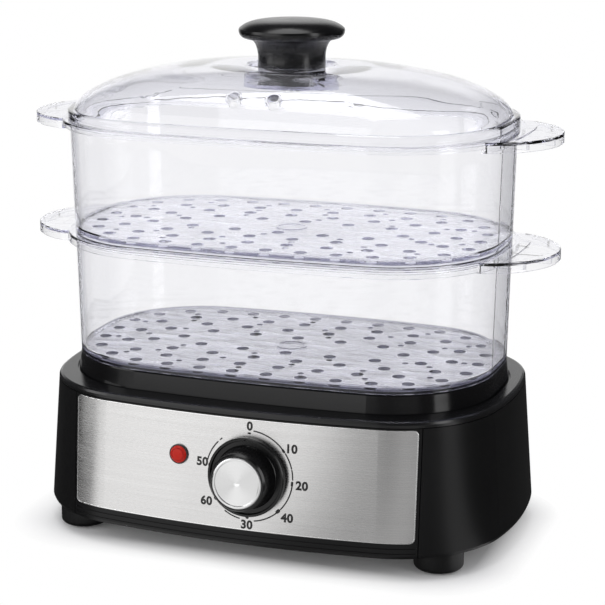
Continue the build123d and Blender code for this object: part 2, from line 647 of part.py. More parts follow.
for s in (-1, 1):
    x = s * BLADE_X
    thermostat += block(x - 0.4, x + 0.4, blade_y - 1, blade_y + 1, blade_z, thermo_under + EPS)
parts["thermostat"] = thermostat
strap_half = CLAMP_IN_R + 2.5
strap_y0 = BASIN_Y - STRAP_WIDTH / 2
strap_y1 = BASIN_Y + STRAP_WIDTH / 2
strap_under = thermo_under - STRAP_THICK
strap = block(-strap_half, strap_half, strap_y0, strap_y1, strap_under, CLAMP_UNDER_Z)
strap_span = strap_half - STRAP_THICK
strap -= block(-strap_span, strap_span, strap_y0 - 1, strap_y1 + 1, thermo_under, DECK_Z)
parts["thermostat_strap"] = strap
fuse_z = strap_under - FUSE_R - CLIP_SHEET
clip_half = FUSE_R + CLIP_SHEET
clip = block(
    FUSE_X - clip_half, FUSE_X + clip_half, strap_y0 + 1, strap_y1 - 1, fuse_z - clip_half, strap_under
)
fuse_loc = Pos(FUSE_X, BASIN_Y, fuse_z) * Rot(90, 0, 0)
parts["fuse_clip"] = clip - fuse_loc * Cylinder(FUSE_R + 0.05, 40)
fuse_wires = Cylinder(0.6, FUSE_LENGTH + 2 * FUSE_WIRE)
parts["thermal_fuse"] = fuse_loc * (Cylinder(FUSE_R, FUSE_LENGTH) + fuse_wires)

# ---------------------------------------------------------------- timer
timer = timer_loc * Pos(0, 0, -TIMER_STANDOFF - BRACKET_THICK - TIMER_THICK / 2) * fillet(
    Box(TIMER_SIZE, TIMER_SIZE, TIMER_THICK).edges().filter_by(Axis.Z), 4.0
)
timer += timer_loc * Pos(0, 0, -TIMER_STANDOFF + 0.5) * Cylinder(BUSH_R, 2 * BRACKET_THICK + 2)
bell_back = TIMER_STANDOFF + BRACKET_THICK + TIMER_THICK
timer += timer_loc * Pos(0, 0, -bell_back - BELL_DEPTH / 2 - 0.9) * Cylinder(BELL_POST_R, BELL_DEPTH + 2.0)
timer_tabs = {
    "live": (14.0, -18.5),
    "switched": (-14.0, -18.5),
    "lamp_high": (-16.0, 18.5),
    "lamp_low": (-18.5, -11.0),
}
for x, y in timer_tabs.values():
    timer += timer_loc * Pos(x, y, -bell_back - TAB_LENGTH / 2) * Box(TAB_WIDTH, TAB_THICK, TAB_LENGTH + 0.4)
shaft_in = bell_back - 5.0
timer -= timer_loc * Pos(0, 0, -shaft_in / 2) * Cylinder(SHAFT_R + SHAFT_PLAY, shaft_in + 0.4)
parts["timer_body"] = timer
bracket = timer_loc * Pos(0, 0, -TIMER_STANDOFF - BRACKET_THICK / 2) * (
    extrude(RectangleRounded(BRACKET_LENGTH, BRACKET_HEIGHT, 4.0), BRACKET_THICK / 2, both=True)
    - Cylinder(BUSH_R + 0.1, 4 * BRACKET_THICK)
)
for s in (-1, 1):
    bracket -= timer_loc * Pos(s * TIMER_SCREW_X, 0, -TIMER_STANDOFF) * Cylinder(TIMER_SCREW_R + 0.1, 20)
parts["timer_bracket"] = bracket
timer_screws = []
for s in (-1, 1):
    t_screw = screw(TIMER_SCREW_R, -TIMER_STANDOFF - BRACKET_THICK - 1.8, -SKIN - 0.4, 0, 0, 2.8, 1.8)
    timer_screws.append(timer_loc * Pos(s * TIMER_SCREW_X, 0, 0) * t_screw)
parts["timer_screws"] = timer_screws
bell_rim = -bell_back - 1.5
bell_crown = bell_rim - BELL_DEPTH
bell = turned(
    [
        (BELL_R - BELL_SHEET, bell_rim),
        (BELL_R, bell_rim),
        (BELL_R, bell_rim - 3),
        (BELL_R - 2.5, bell_crown + 0.6),
        (BELL_R - 5, bell_crown),
        (BELL_POST_R + 0.1, bell_crown),
        (BELL_POST_R + 0.1, bell_crown + BELL_SHEET),
        (BELL_R - 5.4, bell_crown + BELL_SHEET),
        (BELL_R - 3.4, bell_crown + 1.4),
        (BELL_R - BELL_SHEET, bell_rim - 3),
    ]
)
parts["timer_bell"] = timer_loc * bell
shaft = Pos(0, 0, (DIAL_HEIGHT - 4.0 - shaft_in) / 2) * Cylinder(SHAFT_R, shaft_in + DIAL_HEIGHT - 4.0)
shaft -= Pos(0, SHAFT_R, DIAL_HEIGHT / 2 - 1) * Box(8, 2 * SHAFT_FLAT, DIAL_HEIGHT)
parts["timer_shaft"] = timer_loc * shaft

knob = turned(
    [
        (0, DIAL_GAP + 1.2),
        (SHAFT_R + 3, DIAL_GAP + 1.2),
        (SKIRT_R - 1.0, DIAL_GAP),
        (SKIRT_R, DIAL_GAP + 0.6),
        (SKIRT_R, DIAL_GAP + SKIRT_THICK + 0.9),
        (SKIRT_R - 0.5, DIAL_GAP + SKIRT_THICK + SKIRT_LIP),
        (SKIRT_R - 1.3, DIAL_GAP + SKIRT_THICK + SKIRT_LIP),
        (SKIRT_R - 1.8, DIAL_GAP + SKIRT_THICK),
        (GRIP_BASE_R + 0.6, DIAL_GAP + SKIRT_THICK),
        (GRIP_BASE_R, DIAL_GAP + SKIRT_THICK + 0.6),
        (GRIP_TOP_R, DIAL_HEIGHT - 1.0),
        (GRIP_TOP_R - 0.9, DIAL_HEIGHT),
        (CAP_R + 0.1, DIAL_HEIGHT),
        (CAP_R + 0.1, DIAL_HEIGHT - CAP_THICK),
        (0, DIAL_HEIGHT - CAP_THICK),
    ]
)
grip_foot = DIAL_GAP + SKIRT_THICK + 0.6
grip_slope = (GRIP_BASE_R - GRIP_TOP_R) / (DIAL_HEIGHT - 1.0 - grip_foot)
flute_z0, flute_z1 = grip_foot + 0.2, DIAL_HEIGHT - FLUTE_STOP
flute_mid = (flute_z0 + flute_z1) / 2
flute_out = GRIP_BASE_R - grip_slope * (flute_mid - grip_foot) + FLUTE_R - FLUTE_DEPTH
flute = Cylinder(FLUTE_R, flute_z1 - flute_z0)
flute = Pos(flute_out, 0, flute_mid) * Rot(0, -math.degrees(math.atan(grip_slope)), 0) * flute
knob -= [Rot(0, 0, 360 / FLUTES * k) * flute for k in range(FLUTES)]
knob_bore = Pos(0, 0, (DIAL_HEIGHT - 4.0) / 2) * Cylinder(SHAFT_R + SHAFT_PLAY, DIAL_HEIGHT - 3.9)
knob_bore -= Pos(0, SHAFT_R, DIAL_HEIGHT / 2 - 1) * Box(8, 2 * SHAFT_FLAT - 0.1, DIAL_HEIGHT)
knob -= knob_bore
knob -= Pos(0, SKIRT_R - 1.0, DIAL_GAP + SKIRT_THICK + SKIRT_LIP) * Rot(0, 0, 45) * Box(1.6, 1.6, 1.6)
parts["timer_knob"] = timer_loc * knob
cap = turned(
    [
        (0, DIAL_HEIGHT - CAP_THICK),
        (CAP_R, DIAL_HEIGHT - CAP_THICK),
        (CAP_R, DIAL_HEIGHT + 0.2),
        (CAP_R - 0.5, DIAL_HEIGHT + 0.5),
        (CAP_R - 1.2, DIAL_HEIGHT + 0.5),
        (CAP_R - 1.6, DIAL_HEIGHT + 0.2),
        (0, DIAL_HEIGHT),
    ]
)
parts["timer_knob_cap"] = timer_loc * cap

# ---------------------------------------------------------------- indicator lamp
barrel = Pos(0, 0, -LAMP_LENGTH / 2) * Cylinder(LAMP_BARREL_R, LAMP_LENGTH)
barrel += Pos(0, 0, 0.45) * Cylinder(LAMP_FLANGE_R, 0.9)
barrel -= Pos(0, 0, 0.65) * Cylinder(LENS_R + 0.05, 0.7)
bulb_z0 = LAMP_FLOOR - LAMP_LENGTH
barrel -= rod(LAMP_BARREL_R - LAMP_BARREL_WALL, bulb_z0, LAMP_LENGTH)
for s in (-1, 1):
    barrel += Pos(s * 2.2, 0, -LAMP_LENGTH - 3) * Box(0.8, 2.8, 6.2)
parts["lamp_body"] = lamp_loc * barrel
lens = turned(
    [
        (0, -2.0),
        (LAMP_BARREL_R - LAMP_BARREL_WALL - 0.1, -2.0),
        (LAMP_BARREL_R - LAMP_BARREL_WALL - 0.1, 0.3),
        (LENS_R, 0.3),
        (LENS_R, 1.1),
        (LENS_R * 0.87, 0.9 + LENS_RISE * 0.55),
        (LENS_R * 0.6, 0.9 + LENS_RISE * 0.84),
        (LENS_R * 0.3, 0.9 + LENS_RISE * 0.97),
        (0, 0.9 + LENS_RISE),
    ]
)
parts["lamp_lens"] = lamp_loc * lens
parts["lamp_clip"] = lamp_loc * Pos(0, 0, -SKIN - 0.9) * (
    Box(LAMP_CLIP, LAMP_CLIP, 0.6) - Cylinder(LAMP_BARREL_R + 0.02, 3)
)
parts["neon_bulb"] = lamp_loc * rod(NEON_R, bulb_z0, bulb_z0 + NEON_LENGTH)

# ---------------------------------------------------------------- mains inlet and terminals
gland = Cylinder(GLAND_R, SKIN + 3.0)
gland += Pos(0, 0, (SKIN + 3.0) / 2 + 0.2) * Cylinder(GLAND_FLANGE_R, 2.0)
gland += Pos(0, 0, -(SKIN + 3.0) / 2 - SKIN + 0.5) * Cylinder(GLAND_FLANGE_R - 0.8, 1.6)
gland += Pos(0, 0, -(SKIN + 3.0) / 2) * Cylinder(GLAND_R, 2 * SKIN)
gland -= Cylinder(GLAND_BORE_R, 60)
parts["cord_gland"] = gland_loc * Pos(0, 0, -1.0) * gland
pole_pitch = BLOCK_LENGTH / BLOCK_POLES
poles = [BLOCK_X + pole_pitch * (k - (BLOCK_POLES - 1) / 2) for k in range(BLOCK_POLES)]
block_y0 = BLOCK_Y - BLOCK_DEPTH / 2
block_y1 = BLOCK_Y + BLOCK_DEPTH / 2
sleeve_z = block_z + SLEEVE_LEVEL
block_top = block_z + BLOCK_HEIGHT
terminal = block(
    BLOCK_X - BLOCK_LENGTH / 2, BLOCK_X + BLOCK_LENGTH / 2, block_y0, block_y1, block_z, block_z + BLOCK_BASE
)
sleeves = []
for x in poles:
    terminal += block(x - pole_pitch * 0.4, x + pole_pitch * 0.4, block_y0, block_y1, block_z, block_top)
    bore = Pos(x, BLOCK_Y, sleeve_z) * Rot(90, 0, 0)
    terminal -= bore * Cylinder(2.4, BLOCK_DEPTH + 1)
    sleeve = bore * (Cylinder(2.3, BLOCK_DEPTH - 2) - Cylinder(1.4, BLOCK_DEPTH))
    for y in (BLOCK_Y - BLOCK_DEPTH / 4, BLOCK_Y + BLOCK_DEPTH / 4):
        terminal -= rod(2.0, sleeve_z, block_top + 1, x, y)
        sleeve += rod(1.6, sleeve_z + 1.6, block_top - 0.6, x, y)
    sleeves.append(sleeve)
for s in (-1, 1):
    terminal -= rod(BLOCK_SCREW_R, 0, block_z + BLOCK_BASE + 1, BLOCK_X + s * BLOCK_LENGTH / 3, BLOCK_Y)
parts["terminal_block"] = terminal
parts["terminal_sleeves"] = sleeves


# ---------------------------------------------------------------- wiring
def lead(*points):
    """Insulated wire: straight runs joined by tangent arcs as large as the runs allow."""
    pts = [Vector(*p) for p in points]
    radii = []
    for a, b, c in zip(pts, pts[1:], pts[2:]):
        turn = math.radians((b - a).get_angle(c - b))
        radii.append(0.45 * min((b - a).length, (c - b).length) / math.tan(turn / 2))
    path = FilletPolyline(*pts, radius=radii)
    wire = sweep(Plane(origin=path @ 0, z_dir=path % 0) * Circle(LEAD_R), path=path)
    ratio = wire.volume / (math.pi * LEAD_R ** 2 * path.length)
    print("lead radii", [round(r, 1) for r in radii], "volume over section times length", round(ratio, 4))
    return wire


def at_tab(name, out):
    """Point at a distance behind the tip of a timer terminal."""
    x, y = timer_tabs[name]
    return tuple((timer_loc * Pos(x, y, -bell_back - TAB_LENGTH - 0.2 - out)).position)


def at_lamp(side, out=0.0):
    """Point at a distance behind the tip of a lamp terminal."""
    return tuple((lamp_loc * Pos(side * 2.2, 0, -LAMP_LENGTH - 6.1 - out)).position)


wire_y = block_y0 + 3.0
low_z = BOTTOM_TOP_Z + 3.4
pin_x = ELEMENT_R * math.sin(math.radians(half_gap))
pin_y = BASIN_Y - ELEMENT_R * math.cos(math.radians(half_gap))
pin_z = element_z - PIN_DROP - PIN_LENGTH
fuse_end = FUSE_LENGTH / 2 + FUSE_WIRE
lx, ly, lz = at_tab("live", LEAD_END * 1.6)
parts["lead_live"] = lead(
    (poles[0], wire_y, sleeve_z),
    (poles[0], wire_y - 2.4 * LEAD_END, sleeve_z),
    (poles[0] - 9, 0, sleeve_z - 4),
    (lx + 8, -20, sleeve_z - 4),
    (lx, ly, lz - 1.0),
    at_tab("live", TAB_LEAD_GAP),
)
sx, sy, sz = at_tab("switched", LEAD_END * 1.6)
parts["lead_switched"] = lead(
    at_tab("switched", TAB_LEAD_GAP),
    (sx, sy, sz - 1.0),
    (sx - 10, -14, low_z + 2),
    (-17, 8, low_z + 2),
    (-BLADE_X, blade_y, blade_z - LEAD_END),
    (-BLADE_X, blade_y, blade_z),
)
parts["lead_fuse"] = lead(
    (BLADE_X, blade_y, blade_z),
    (BLADE_X, blade_y, blade_z - LEAD_END),
    (11, blade_y + 13, blade_z - LEAD_END),
    (FUSE_X, BASIN_Y + fuse_end + LEAD_END, fuse_z),
    (FUSE_X, BASIN_Y + fuse_end, fuse_z),
)
parts["lead_heater"] = lead(
    (FUSE_X, BASIN_Y - fuse_end, fuse_z),
    (FUSE_X, BASIN_Y - fuse_end - LEAD_END, fuse_z),
    (FUSE_X - 3, BASIN_Y - fuse_end - 2 * LEAD_END, pin_z - LEAD_END * 0.5),
    (pin_x, pin_y, low_z - 1.5),
    (pin_x, pin_y, pin_z),
)
parts["lead_neutral"] = lead(
    (-pin_x, pin_y, pin_z),
    (-pin_x, pin_y, low_z - 1.0),
    (3, pin_y + 12, low_z - 1.0),
    (34, 22, low_z - 1.0),
    (poles[1], wire_y - 1.6 * LEAD_END, sleeve_z),
    (poles[1], wire_y, sleeve_z),
)
parts["lead_earth"] = lead(
    (poles[2], wire_y, sleeve_z),
    (poles[2], wire_y - 1.6 * LEAD_END, sleeve_z + 1),
    (poles[2] - 3, BASIN_Y + 4, CLAMP_UNDER_Z - 3),
    (earth_tip + 1.6 * LEAD_END, BASIN_Y, CLAMP_UNDER_Z + TAB_THICK / 2),
    (earth_tip, BASIN_Y, CLAMP_UNDER_Z + TAB_THICK / 2),
)
hx, hy, hz = at_tab("lamp_high", LEAD_END)
lamp_run = BASIN_FRONT_Y - LAMP_LEAD_GAP - at_lamp(1)[1]
print("lamp leads run straight for", round(lamp_run, 2))
gx, gy, gz = at_lamp(1, lamp_run)
ox, oy, oz = at_tab("lamp_low", LEAD_END)
kx, ky, kz = at_lamp(-1, lamp_run)
parts["lamp_leads"] = [
    lead(at_lamp(1), (gx, gy, gz), (hx, hy, hz), at_tab("lamp_high", 0)),
    lead(at_lamp(-1), (kx, ky, kz), (kx + 7, ky, oz), (ox, oy, oz), at_tab("lamp_low", 0)),
]

# ---------------------------------------------------------------- drip tray
neck_lower = NECK_INSET + LOWER_SHRINK
ring_top_inset = WALL_INSET_FOOT + LOWER_SHRINK
tray = stack(
    rim_face,
    [
        (TRAY_OUT_BOTTOM, TRAY_SEAT_Z),
        (ring_top_inset - (ring_top_inset - TRAY_OUT_BOTTOM) * 0.1, TRAY_RING_TOP_Z - TRAY_ROUND),
        (ring_top_inset + TRAY_ROUND * 0.3, TRAY_RING_TOP_Z - TRAY_ROUND * 0.3),
        (ring_top_inset + TRAY_ROUND, TRAY_RING_TOP_Z),
    ],
)
tray -= prism(rim_face(neck_lower - NEST_GAP), TRAY_RING_TOP_Z - NECK_DEPTH - 1, TRAY_RING_TOP_Z + 1)
tray -= prism(rim_face(neck_lower - NEST_GAP + 1.0), TRAY_SEAT_Z + TRAY_FLOOR, TRAY_RING_TOP_Z)
chimney_top = TRAY_RING_TOP_Z + FLOOR_RISE - FLOOR_THICK - CHIMNEY_TOP_GAP
chimney = rod(CHIMNEY_R, TRAY_SEAT_Z, chimney_top, 0, BASIN_Y)
tray += chimney
tray -= rod(CHIMNEY_R - CHIMNEY_WALL, TRAY_SEAT_Z - 1, chimney_top - CHIMNEY_WALL, 0, BASIN_Y)
window_z0 = TRAY_SEAT_Z + TRAY_FLOOR + 1.4
window_z1 = chimney_top - CHIMNEY_WALL
for k in range(CHIMNEY_WINDOWS):
    slot = Pos(CHIMNEY_R, 0, (window_z0 + window_z1) / 2) * Box(3 * CHIMNEY_WALL, 9.0, window_z1 - window_z0)
    tray -= Pos(0, BASIN_Y, 0) * Rot(0, 0, 360 / CHIMNEY_WINDOWS * k) * slot
sleeve_bottom = BASIN_FLOOR_Z + SLEEVE_GAP
tray += tube(SLEEVE_R, SLEEVE_R - CHIMNEY_WALL, sleeve_bottom, TRAY_SEAT_Z + EPS, 0, BASIN_Y)
for k in range(SLEEVE_NOTCHES):
    notch = Pos(SLEEVE_R, 0, sleeve_bottom) * Box(4 * CHIMNEY_WALL, 12.0, 10.0)
    tray -= Pos(0, BASIN_Y, 0) * Rot(0, 0, 360 / SLEEVE_NOTCHES * k) * notch
parts["drip_tray"] = tray


# ---------------------------------------------------------------- baskets
def oval_points(inset, count, phase):
    """Points evenly spaced along an inset basket oval."""
    outline = rim_face(inset).face().outer_wire()
    return [outline.position_at(((k + phase) / count) % 1.0) for k in range(count)]


def grip_at(shrink, rim_z):
    """Grip at the +X end of a rim: a thin pad with a turned-down edge and ribs below."""
    centre = Pos(GRIP_TIP_X - GRIP_R, 0, 0)
    foot = rim_z - GRIP_DROP
    right = block(0, 2 * GRIP_TIP_X, -GRIP_HALF, GRIP_HALF, 0, rim_z + 1)
    outside_rim = right - prism(rim_face(shrink), 0, rim_z + 1)
    pad = turned(
        [
            (0, foot),
            (GRIP_R - RIM_EDGE, foot),
            (GRIP_R, foot + RIM_EDGE),
            (GRIP_R, rim_z - RIM_EDGE),
            (GRIP_R - RIM_EDGE, rim_z),
            (0, rim_z),
        ]
    )
    grip = centre * pad & (right - prism(rim_face(shrink + RIM_LIP), 0, rim_z + 1))
    hollow = prism(Circle(GRIP_R - RIM_LIP), foot - 1, rim_z - RIM_PLATE)
    between = GRIP_HALF - RIM_LIP
    grip -= centre * hollow & outside_rim & block(0, 2 * GRIP_TIP_X, -between, between, 0, rim_z + 1)
    for y in GRIP_RIB_Y:
        x_tip = centre.position.X + math.sqrt((GRIP_R - RIM_LIP / 2) ** 2 - y ** 2)
        y0, y1 = y - GRIP_RIB / 2, y + GRIP_RIB / 2
        rib = block(x_tip - 40, x_tip, y0, y1, foot + 1.0, rim_z - RIM_PLATE + EPS)
        grip += rib & outside_rim
    relief = centre * prism(Circle(GRIP_R - GRIP_RELIEF_INSET), rim_z - GRIP_RELIEF_DEPTH, rim_z + 1)
    return grip - (relief & (right - prism(rim_face(shrink - GRIP_RELIEF_GAP), 0, rim_z + 2)))


def basket(shrink, shoulder_z, height, rim_drop, neck_depth):
    """One clear moulding: rim with grips, drafted wall, perforated floor and locating neck."""
    rim_z = shoulder_z + height
    floor_z = shoulder_z + FLOOR_RISE
    foot = WALL_INSET_FOOT + shrink
    top = WALL_INSET_TOP + shrink
    body = stack(rim_face, [(foot, shoulder_z), (top, rim_z - RIM_PLATE + EPS)])
    rim = stack(
        rim_face,
        [
            (shrink + RIM_EDGE, rim_z - rim_drop),
            (shrink, rim_z - rim_drop + RIM_EDGE),
            (shrink, rim_z - RIM_EDGE),
            (shrink + RIM_EDGE, rim_z),
        ],
    )
    under = prism(rim_face(shrink + RIM_LIP), rim_z - rim_drop - 1, rim_z - RIM_PLATE)
    body += rim - under
    grip = grip_at(shrink, rim_z)
    body += grip
    body += Rot(0, 0, 180) * grip
    # inside of the wall down to the floor, then the floor and the neck
    inner_top = top + BASKET_WALL
    inner_foot = foot + BASKET_WALL
    slope = (inner_foot - inner_top) / (height - RIM_PLATE)
    body -= stack(
        rim_face,
        [
            (inner_foot + 1.6, floor_z),
            (inner_foot + 0.5, floor_z + 0.5),
            (inner_foot - slope * 1.6, floor_z + 1.6),
            (inner_top - slope * 3, rim_z + 1),
        ],
    )
    neck = NECK_INSET + shrink
    body += prism(rim_face(neck), shoulder_z - neck_depth, shoulder_z + EPS)
    body -= prism(rim_face(neck + BASKET_WALL), shoulder_z - neck_depth - 1, floor_z - FLOOR_THICK)
    floor_edge = inner_foot + 1.6
    rows = [(HOLE_D, *row) for row in zip(HOLE_INSETS, HOLE_COUNTS, HOLE_PHASES)]
    rows += [(HOLE_SMALL_D, *row) for row in zip(HOLE_SMALL_INSETS, HOLE_SMALL_COUNTS, HOLE_SMALL_PHASES)]
    cutters = []
    for dia, inset, count, phase in rows:
        for p in oval_points(floor_edge + inset - shrink, count, phase):
            cutters.append(rod(dia / 2, floor_z - FLOOR_THICK - 1, floor_z + 1, p.X, p.Y))
    ring = tube(BOSS_RING_R, BOSS_RING_R - BOSS_RING_WIDTH, floor_z - EPS, floor_z + BOSS_RING_RISE)
    return (body - cutters) + ring


parts["lower_basket"] = basket(LOWER_SHRINK, TRAY_RING_TOP_Z, LOWER_HEIGHT, LOWER_RIM_DROP, LOWER_NECK_DEPTH)
parts["upper_basket"] = basket(0.0, LOWER_RIM_Z, UPPER_HEIGHT, UPPER_RIM_DROP, NECK_DEPTH)

# ---------------------------------------------------------------- lid
dome_inset = LID_RIM_INSET + LID_RIM_WIDTH


def dome_height(t):
    """Height of the dome's skin at fraction t of the way from its foot in to the crown."""
    return DOME_Z + CROWN_RISE * (1 - (1 - t) ** DOME_SHOULDER) ** (1 / DOME_FULLNESS)


def dome_section(t, wall):
    """Oval of the dome at fraction t, shrunk and lowered by the wall for its inside."""
    out = max(1 - t, 0.004)
    sizes = (RIM_LENGTH / 2, RIM_DEPTH / 2, RIM_SIDE_R, RIM_END_R, RIM_CORNER_R)
    oval = arc_oval(*[CROWN_FLAT_R + (size - dome_inset - CROWN_FLAT_R) * out - wall for size in sizes])
    return Pos(0, 0, dome_height(t) - (wall if t > 0 else 0)) * oval


outer = loft([dome_section(t, 0.0) for t in DOME_STEPS])
inner = loft([dome_section(t, LID_WALL) for t in DOME_STEPS])
rim_out = LID_RIM_INSET
lip_out = WALL_INSET_TOP + BASKET_WALL + NEST_GAP
lid = stack(
    rim_face,
    [
        (rim_out + 0.5, UPPER_RIM_Z),
        (rim_out, UPPER_RIM_Z + 0.5),
        (rim_out, UPPER_RIM_Z + LID_RIM_HEIGHT - 1.2),
        (rim_out + 0.4, UPPER_RIM_Z + LID_RIM_HEIGHT - 0.4),
        (rim_out + 1.2, UPPER_RIM_Z + LID_RIM_HEIGHT),
    ],
)
lid += prism(rim_face(lip_out), UPPER_RIM_Z - LID_LIP_DEPTH, UPPER_RIM_Z + EPS)
lid_rim_z = UPPER_RIM_Z + LID_RIM_HEIGHT
lid -= prism(rim_face(lip_out + BASKET_WALL), UPPER_RIM_Z - LID_LIP_DEPTH - 1, lid_rim_z + 1)
lid += outer - inner
lid += rod(WELL_R + LID_WALL, WELL_FLOOR_Z - LID_WALL, CROWN_Z)
well = rod(WELL_R, WELL_FLOOR_Z, CROWN_Z + 1)
well += Pos(0, 0, CROWN_Z - WELL_LEAD / 2 + EPS) * Cone(WELL_R, WELL_R + WELL_LEAD, WELL_LEAD)
lid -= well
lid -= rod(KNOB_SCREW_R + 0.2, WELL_FLOOR_Z - LID_WALL - 1, WELL_FLOOR_Z + 1)
vent_t = 1 - (-VENT_Y - CROWN_FLAT_R) / (RIM_DEPTH / 2 - dome_inset - CROWN_FLAT_R)
collar_height = LID_WALL + VENT_RISE
for s in (-1, 1):
    vent_loc = Pos(VENT_MIDDLE_X + s * VENT_X, VENT_Y, dome_height(vent_t)) * Rot(VENT_TILT, 0, 0)
    lid += vent_loc * Pos(0, 0, VENT_RISE - collar_height / 2) * Cylinder(VENT_R + VENT_COLLAR, collar_height)
    lid -= vent_loc * Cylinder(VENT_R, 6 * LID_WALL)
parts["lid"] = lid

# ---------------------------------------------------------------- lid knob
z0 = WELL_FLOOR_Z
disc_z = z0 + KNOB_DISC_Z
top_z = z0 + KNOB_HEIGHT
flare_z0 = z0 + KNOB_STEM_H
flare_r = KNOB_DISC_R - KNOB_RIM_ROUND
flare_top = disc_z - KNOB_RIM_DROP
flare_width = flare_r - KNOB_STEM_R
flare_points = [
    (KNOB_STEM_R + flare_width * (1 - math.cos(a)), 0, flare_z0 + (flare_top - flare_z0) * math.sin(a))
    for a in (0.0, 0.4, 0.8, 1.2, math.pi / 2)
]
brow = (KNOB_DISC_R - 0.2, 0, disc_z + KNOB_BROW)
knob_outline = [
    Polyline(
        (0, 0, top_z),
        (0, 0, z0 + KNOB_WALL * 2.4),
        (KNOB_STEM_R - KNOB_WALL, 0, z0 + KNOB_WALL * 2.4),
        (KNOB_STEM_R - KNOB_WALL, 0, z0),
        (KNOB_STEM_R, 0, z0),
        flare_points[0],
    ),
    Spline(*flare_points, tangents=[(0, 0, 1), (1, 0, 0)]),
    Spline(flare_points[-1], (KNOB_DISC_R - 0.7, 0, disc_z - 1.8), (KNOB_DISC_R, 0, disc_z), brow),
    Spline(
        brow,
        (KNOB_DISC_R - 1.8, 0, disc_z + 3.0),
        (KNOB_DISC_R - 5.0, 0, disc_z + 4.6),
        (KNOB_DISC_R * 0.62, 0, top_z - 0.9),
        (KNOB_DISC_R * 0.3, 0, top_z - 0.2),
        (0, 0, top_z),
    ),
]
lid_knob = revolve(make_face(knob_outline), Axis.Z)
lid_knob += rod(KNOB_BOSS_R, z0, z0 + KNOB_WALL * 2.5)
lid_knob -= rod(KNOB_SCREW_R + 0.05, z0 - 1, z0 + 12.0)
parts["lid_knob"] = lid_knob
washer_z = WELL_FLOOR_Z - LID_WALL
washer_under = washer_z - WASHER_THICK
parts["lid_knob_washer"] = tube(WASHER_R, KNOB_SCREW_R + 0.2, washer_under, washer_z)
parts["lid_knob_screw"] = screw(
    KNOB_SCREW_R, washer_under - KNOB_SCREW_HEAD_H, z0 + 10.0, 0, 0, KNOB_SCREW_HEAD_R, KNOB_SCREW_HEAD_H
)

# ---------------------------------------------------------------- output
solids_of = {}
for name, shape in parts.items():
    items = shape if isinstance(shape, list) else [shape]
    solids_of[name] = [solid for item in items for solid in item.solids()]
boxes = [solid.bounding_box() for solids in solids_of.values() for solid in solids]
front = min(box.min.Y for box in boxes)
rear = max(box.max.Y for box in boxes)
centred = Pos(0, -(front + rear) / 2, 0)

os.makedirs("parts", exist_ok=True)
for name, solids in solids_of.items():
    moved = [centred * solid for solid in solids]
    out = Compound(children=moved) if len(moved) > 1 else moved[0]
    out.label = name
    export_step(out, os.path.join("parts", name + ".step"))
    print(name, len(moved), round(out.volume), [round(v, 1) for v in out.bounding_box().size])
print("front", round(front, 3), "rear", round(rear, 3))
timer_axis = (centred * timer_loc).z_axis
print("moved along Y by", round(centred.position.Y, 4))
print("timer axis through", [round(v, 4) for v in timer_axis.position])
print("timer axis inwards", [round(-v, 6) for v in timer_axis.direction])
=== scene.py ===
import json
import math

import bmesh
import bpy
from mathutils import Matrix, Vector
from mathutils.bvhtree import BVHTree


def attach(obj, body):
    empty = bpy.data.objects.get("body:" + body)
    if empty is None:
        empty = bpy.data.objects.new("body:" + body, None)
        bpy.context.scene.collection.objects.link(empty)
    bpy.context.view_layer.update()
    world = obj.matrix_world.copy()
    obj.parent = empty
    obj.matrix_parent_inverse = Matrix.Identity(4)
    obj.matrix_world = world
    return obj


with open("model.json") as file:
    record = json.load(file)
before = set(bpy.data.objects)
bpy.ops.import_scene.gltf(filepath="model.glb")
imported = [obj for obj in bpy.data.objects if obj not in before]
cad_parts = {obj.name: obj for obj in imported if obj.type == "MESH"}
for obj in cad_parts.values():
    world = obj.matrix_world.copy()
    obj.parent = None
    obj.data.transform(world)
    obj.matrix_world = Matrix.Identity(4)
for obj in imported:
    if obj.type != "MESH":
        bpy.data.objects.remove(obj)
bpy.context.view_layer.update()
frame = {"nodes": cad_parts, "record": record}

# Looks of a two-tier food steamer.  Blender's lengths are metres, +Z up, front towards -Y.
# The housing's plan and the places of its parts are in mm, in part.py's own frame.
MM = 0.001
SHIFT_Y = 7.9621                    # mm that part.py moves the finished model along Y
scene = bpy.context.scene


# ---------------------------------------------------------------- node graphs
def rgb(r, g, b):
    return (r, g, b, 1.0)


def scaled(colour, by):
    return (*[min(1.0, c * by) for c in colour[:3]], 1.0)


WHITE = rgb(1.0, 1.0, 1.0)


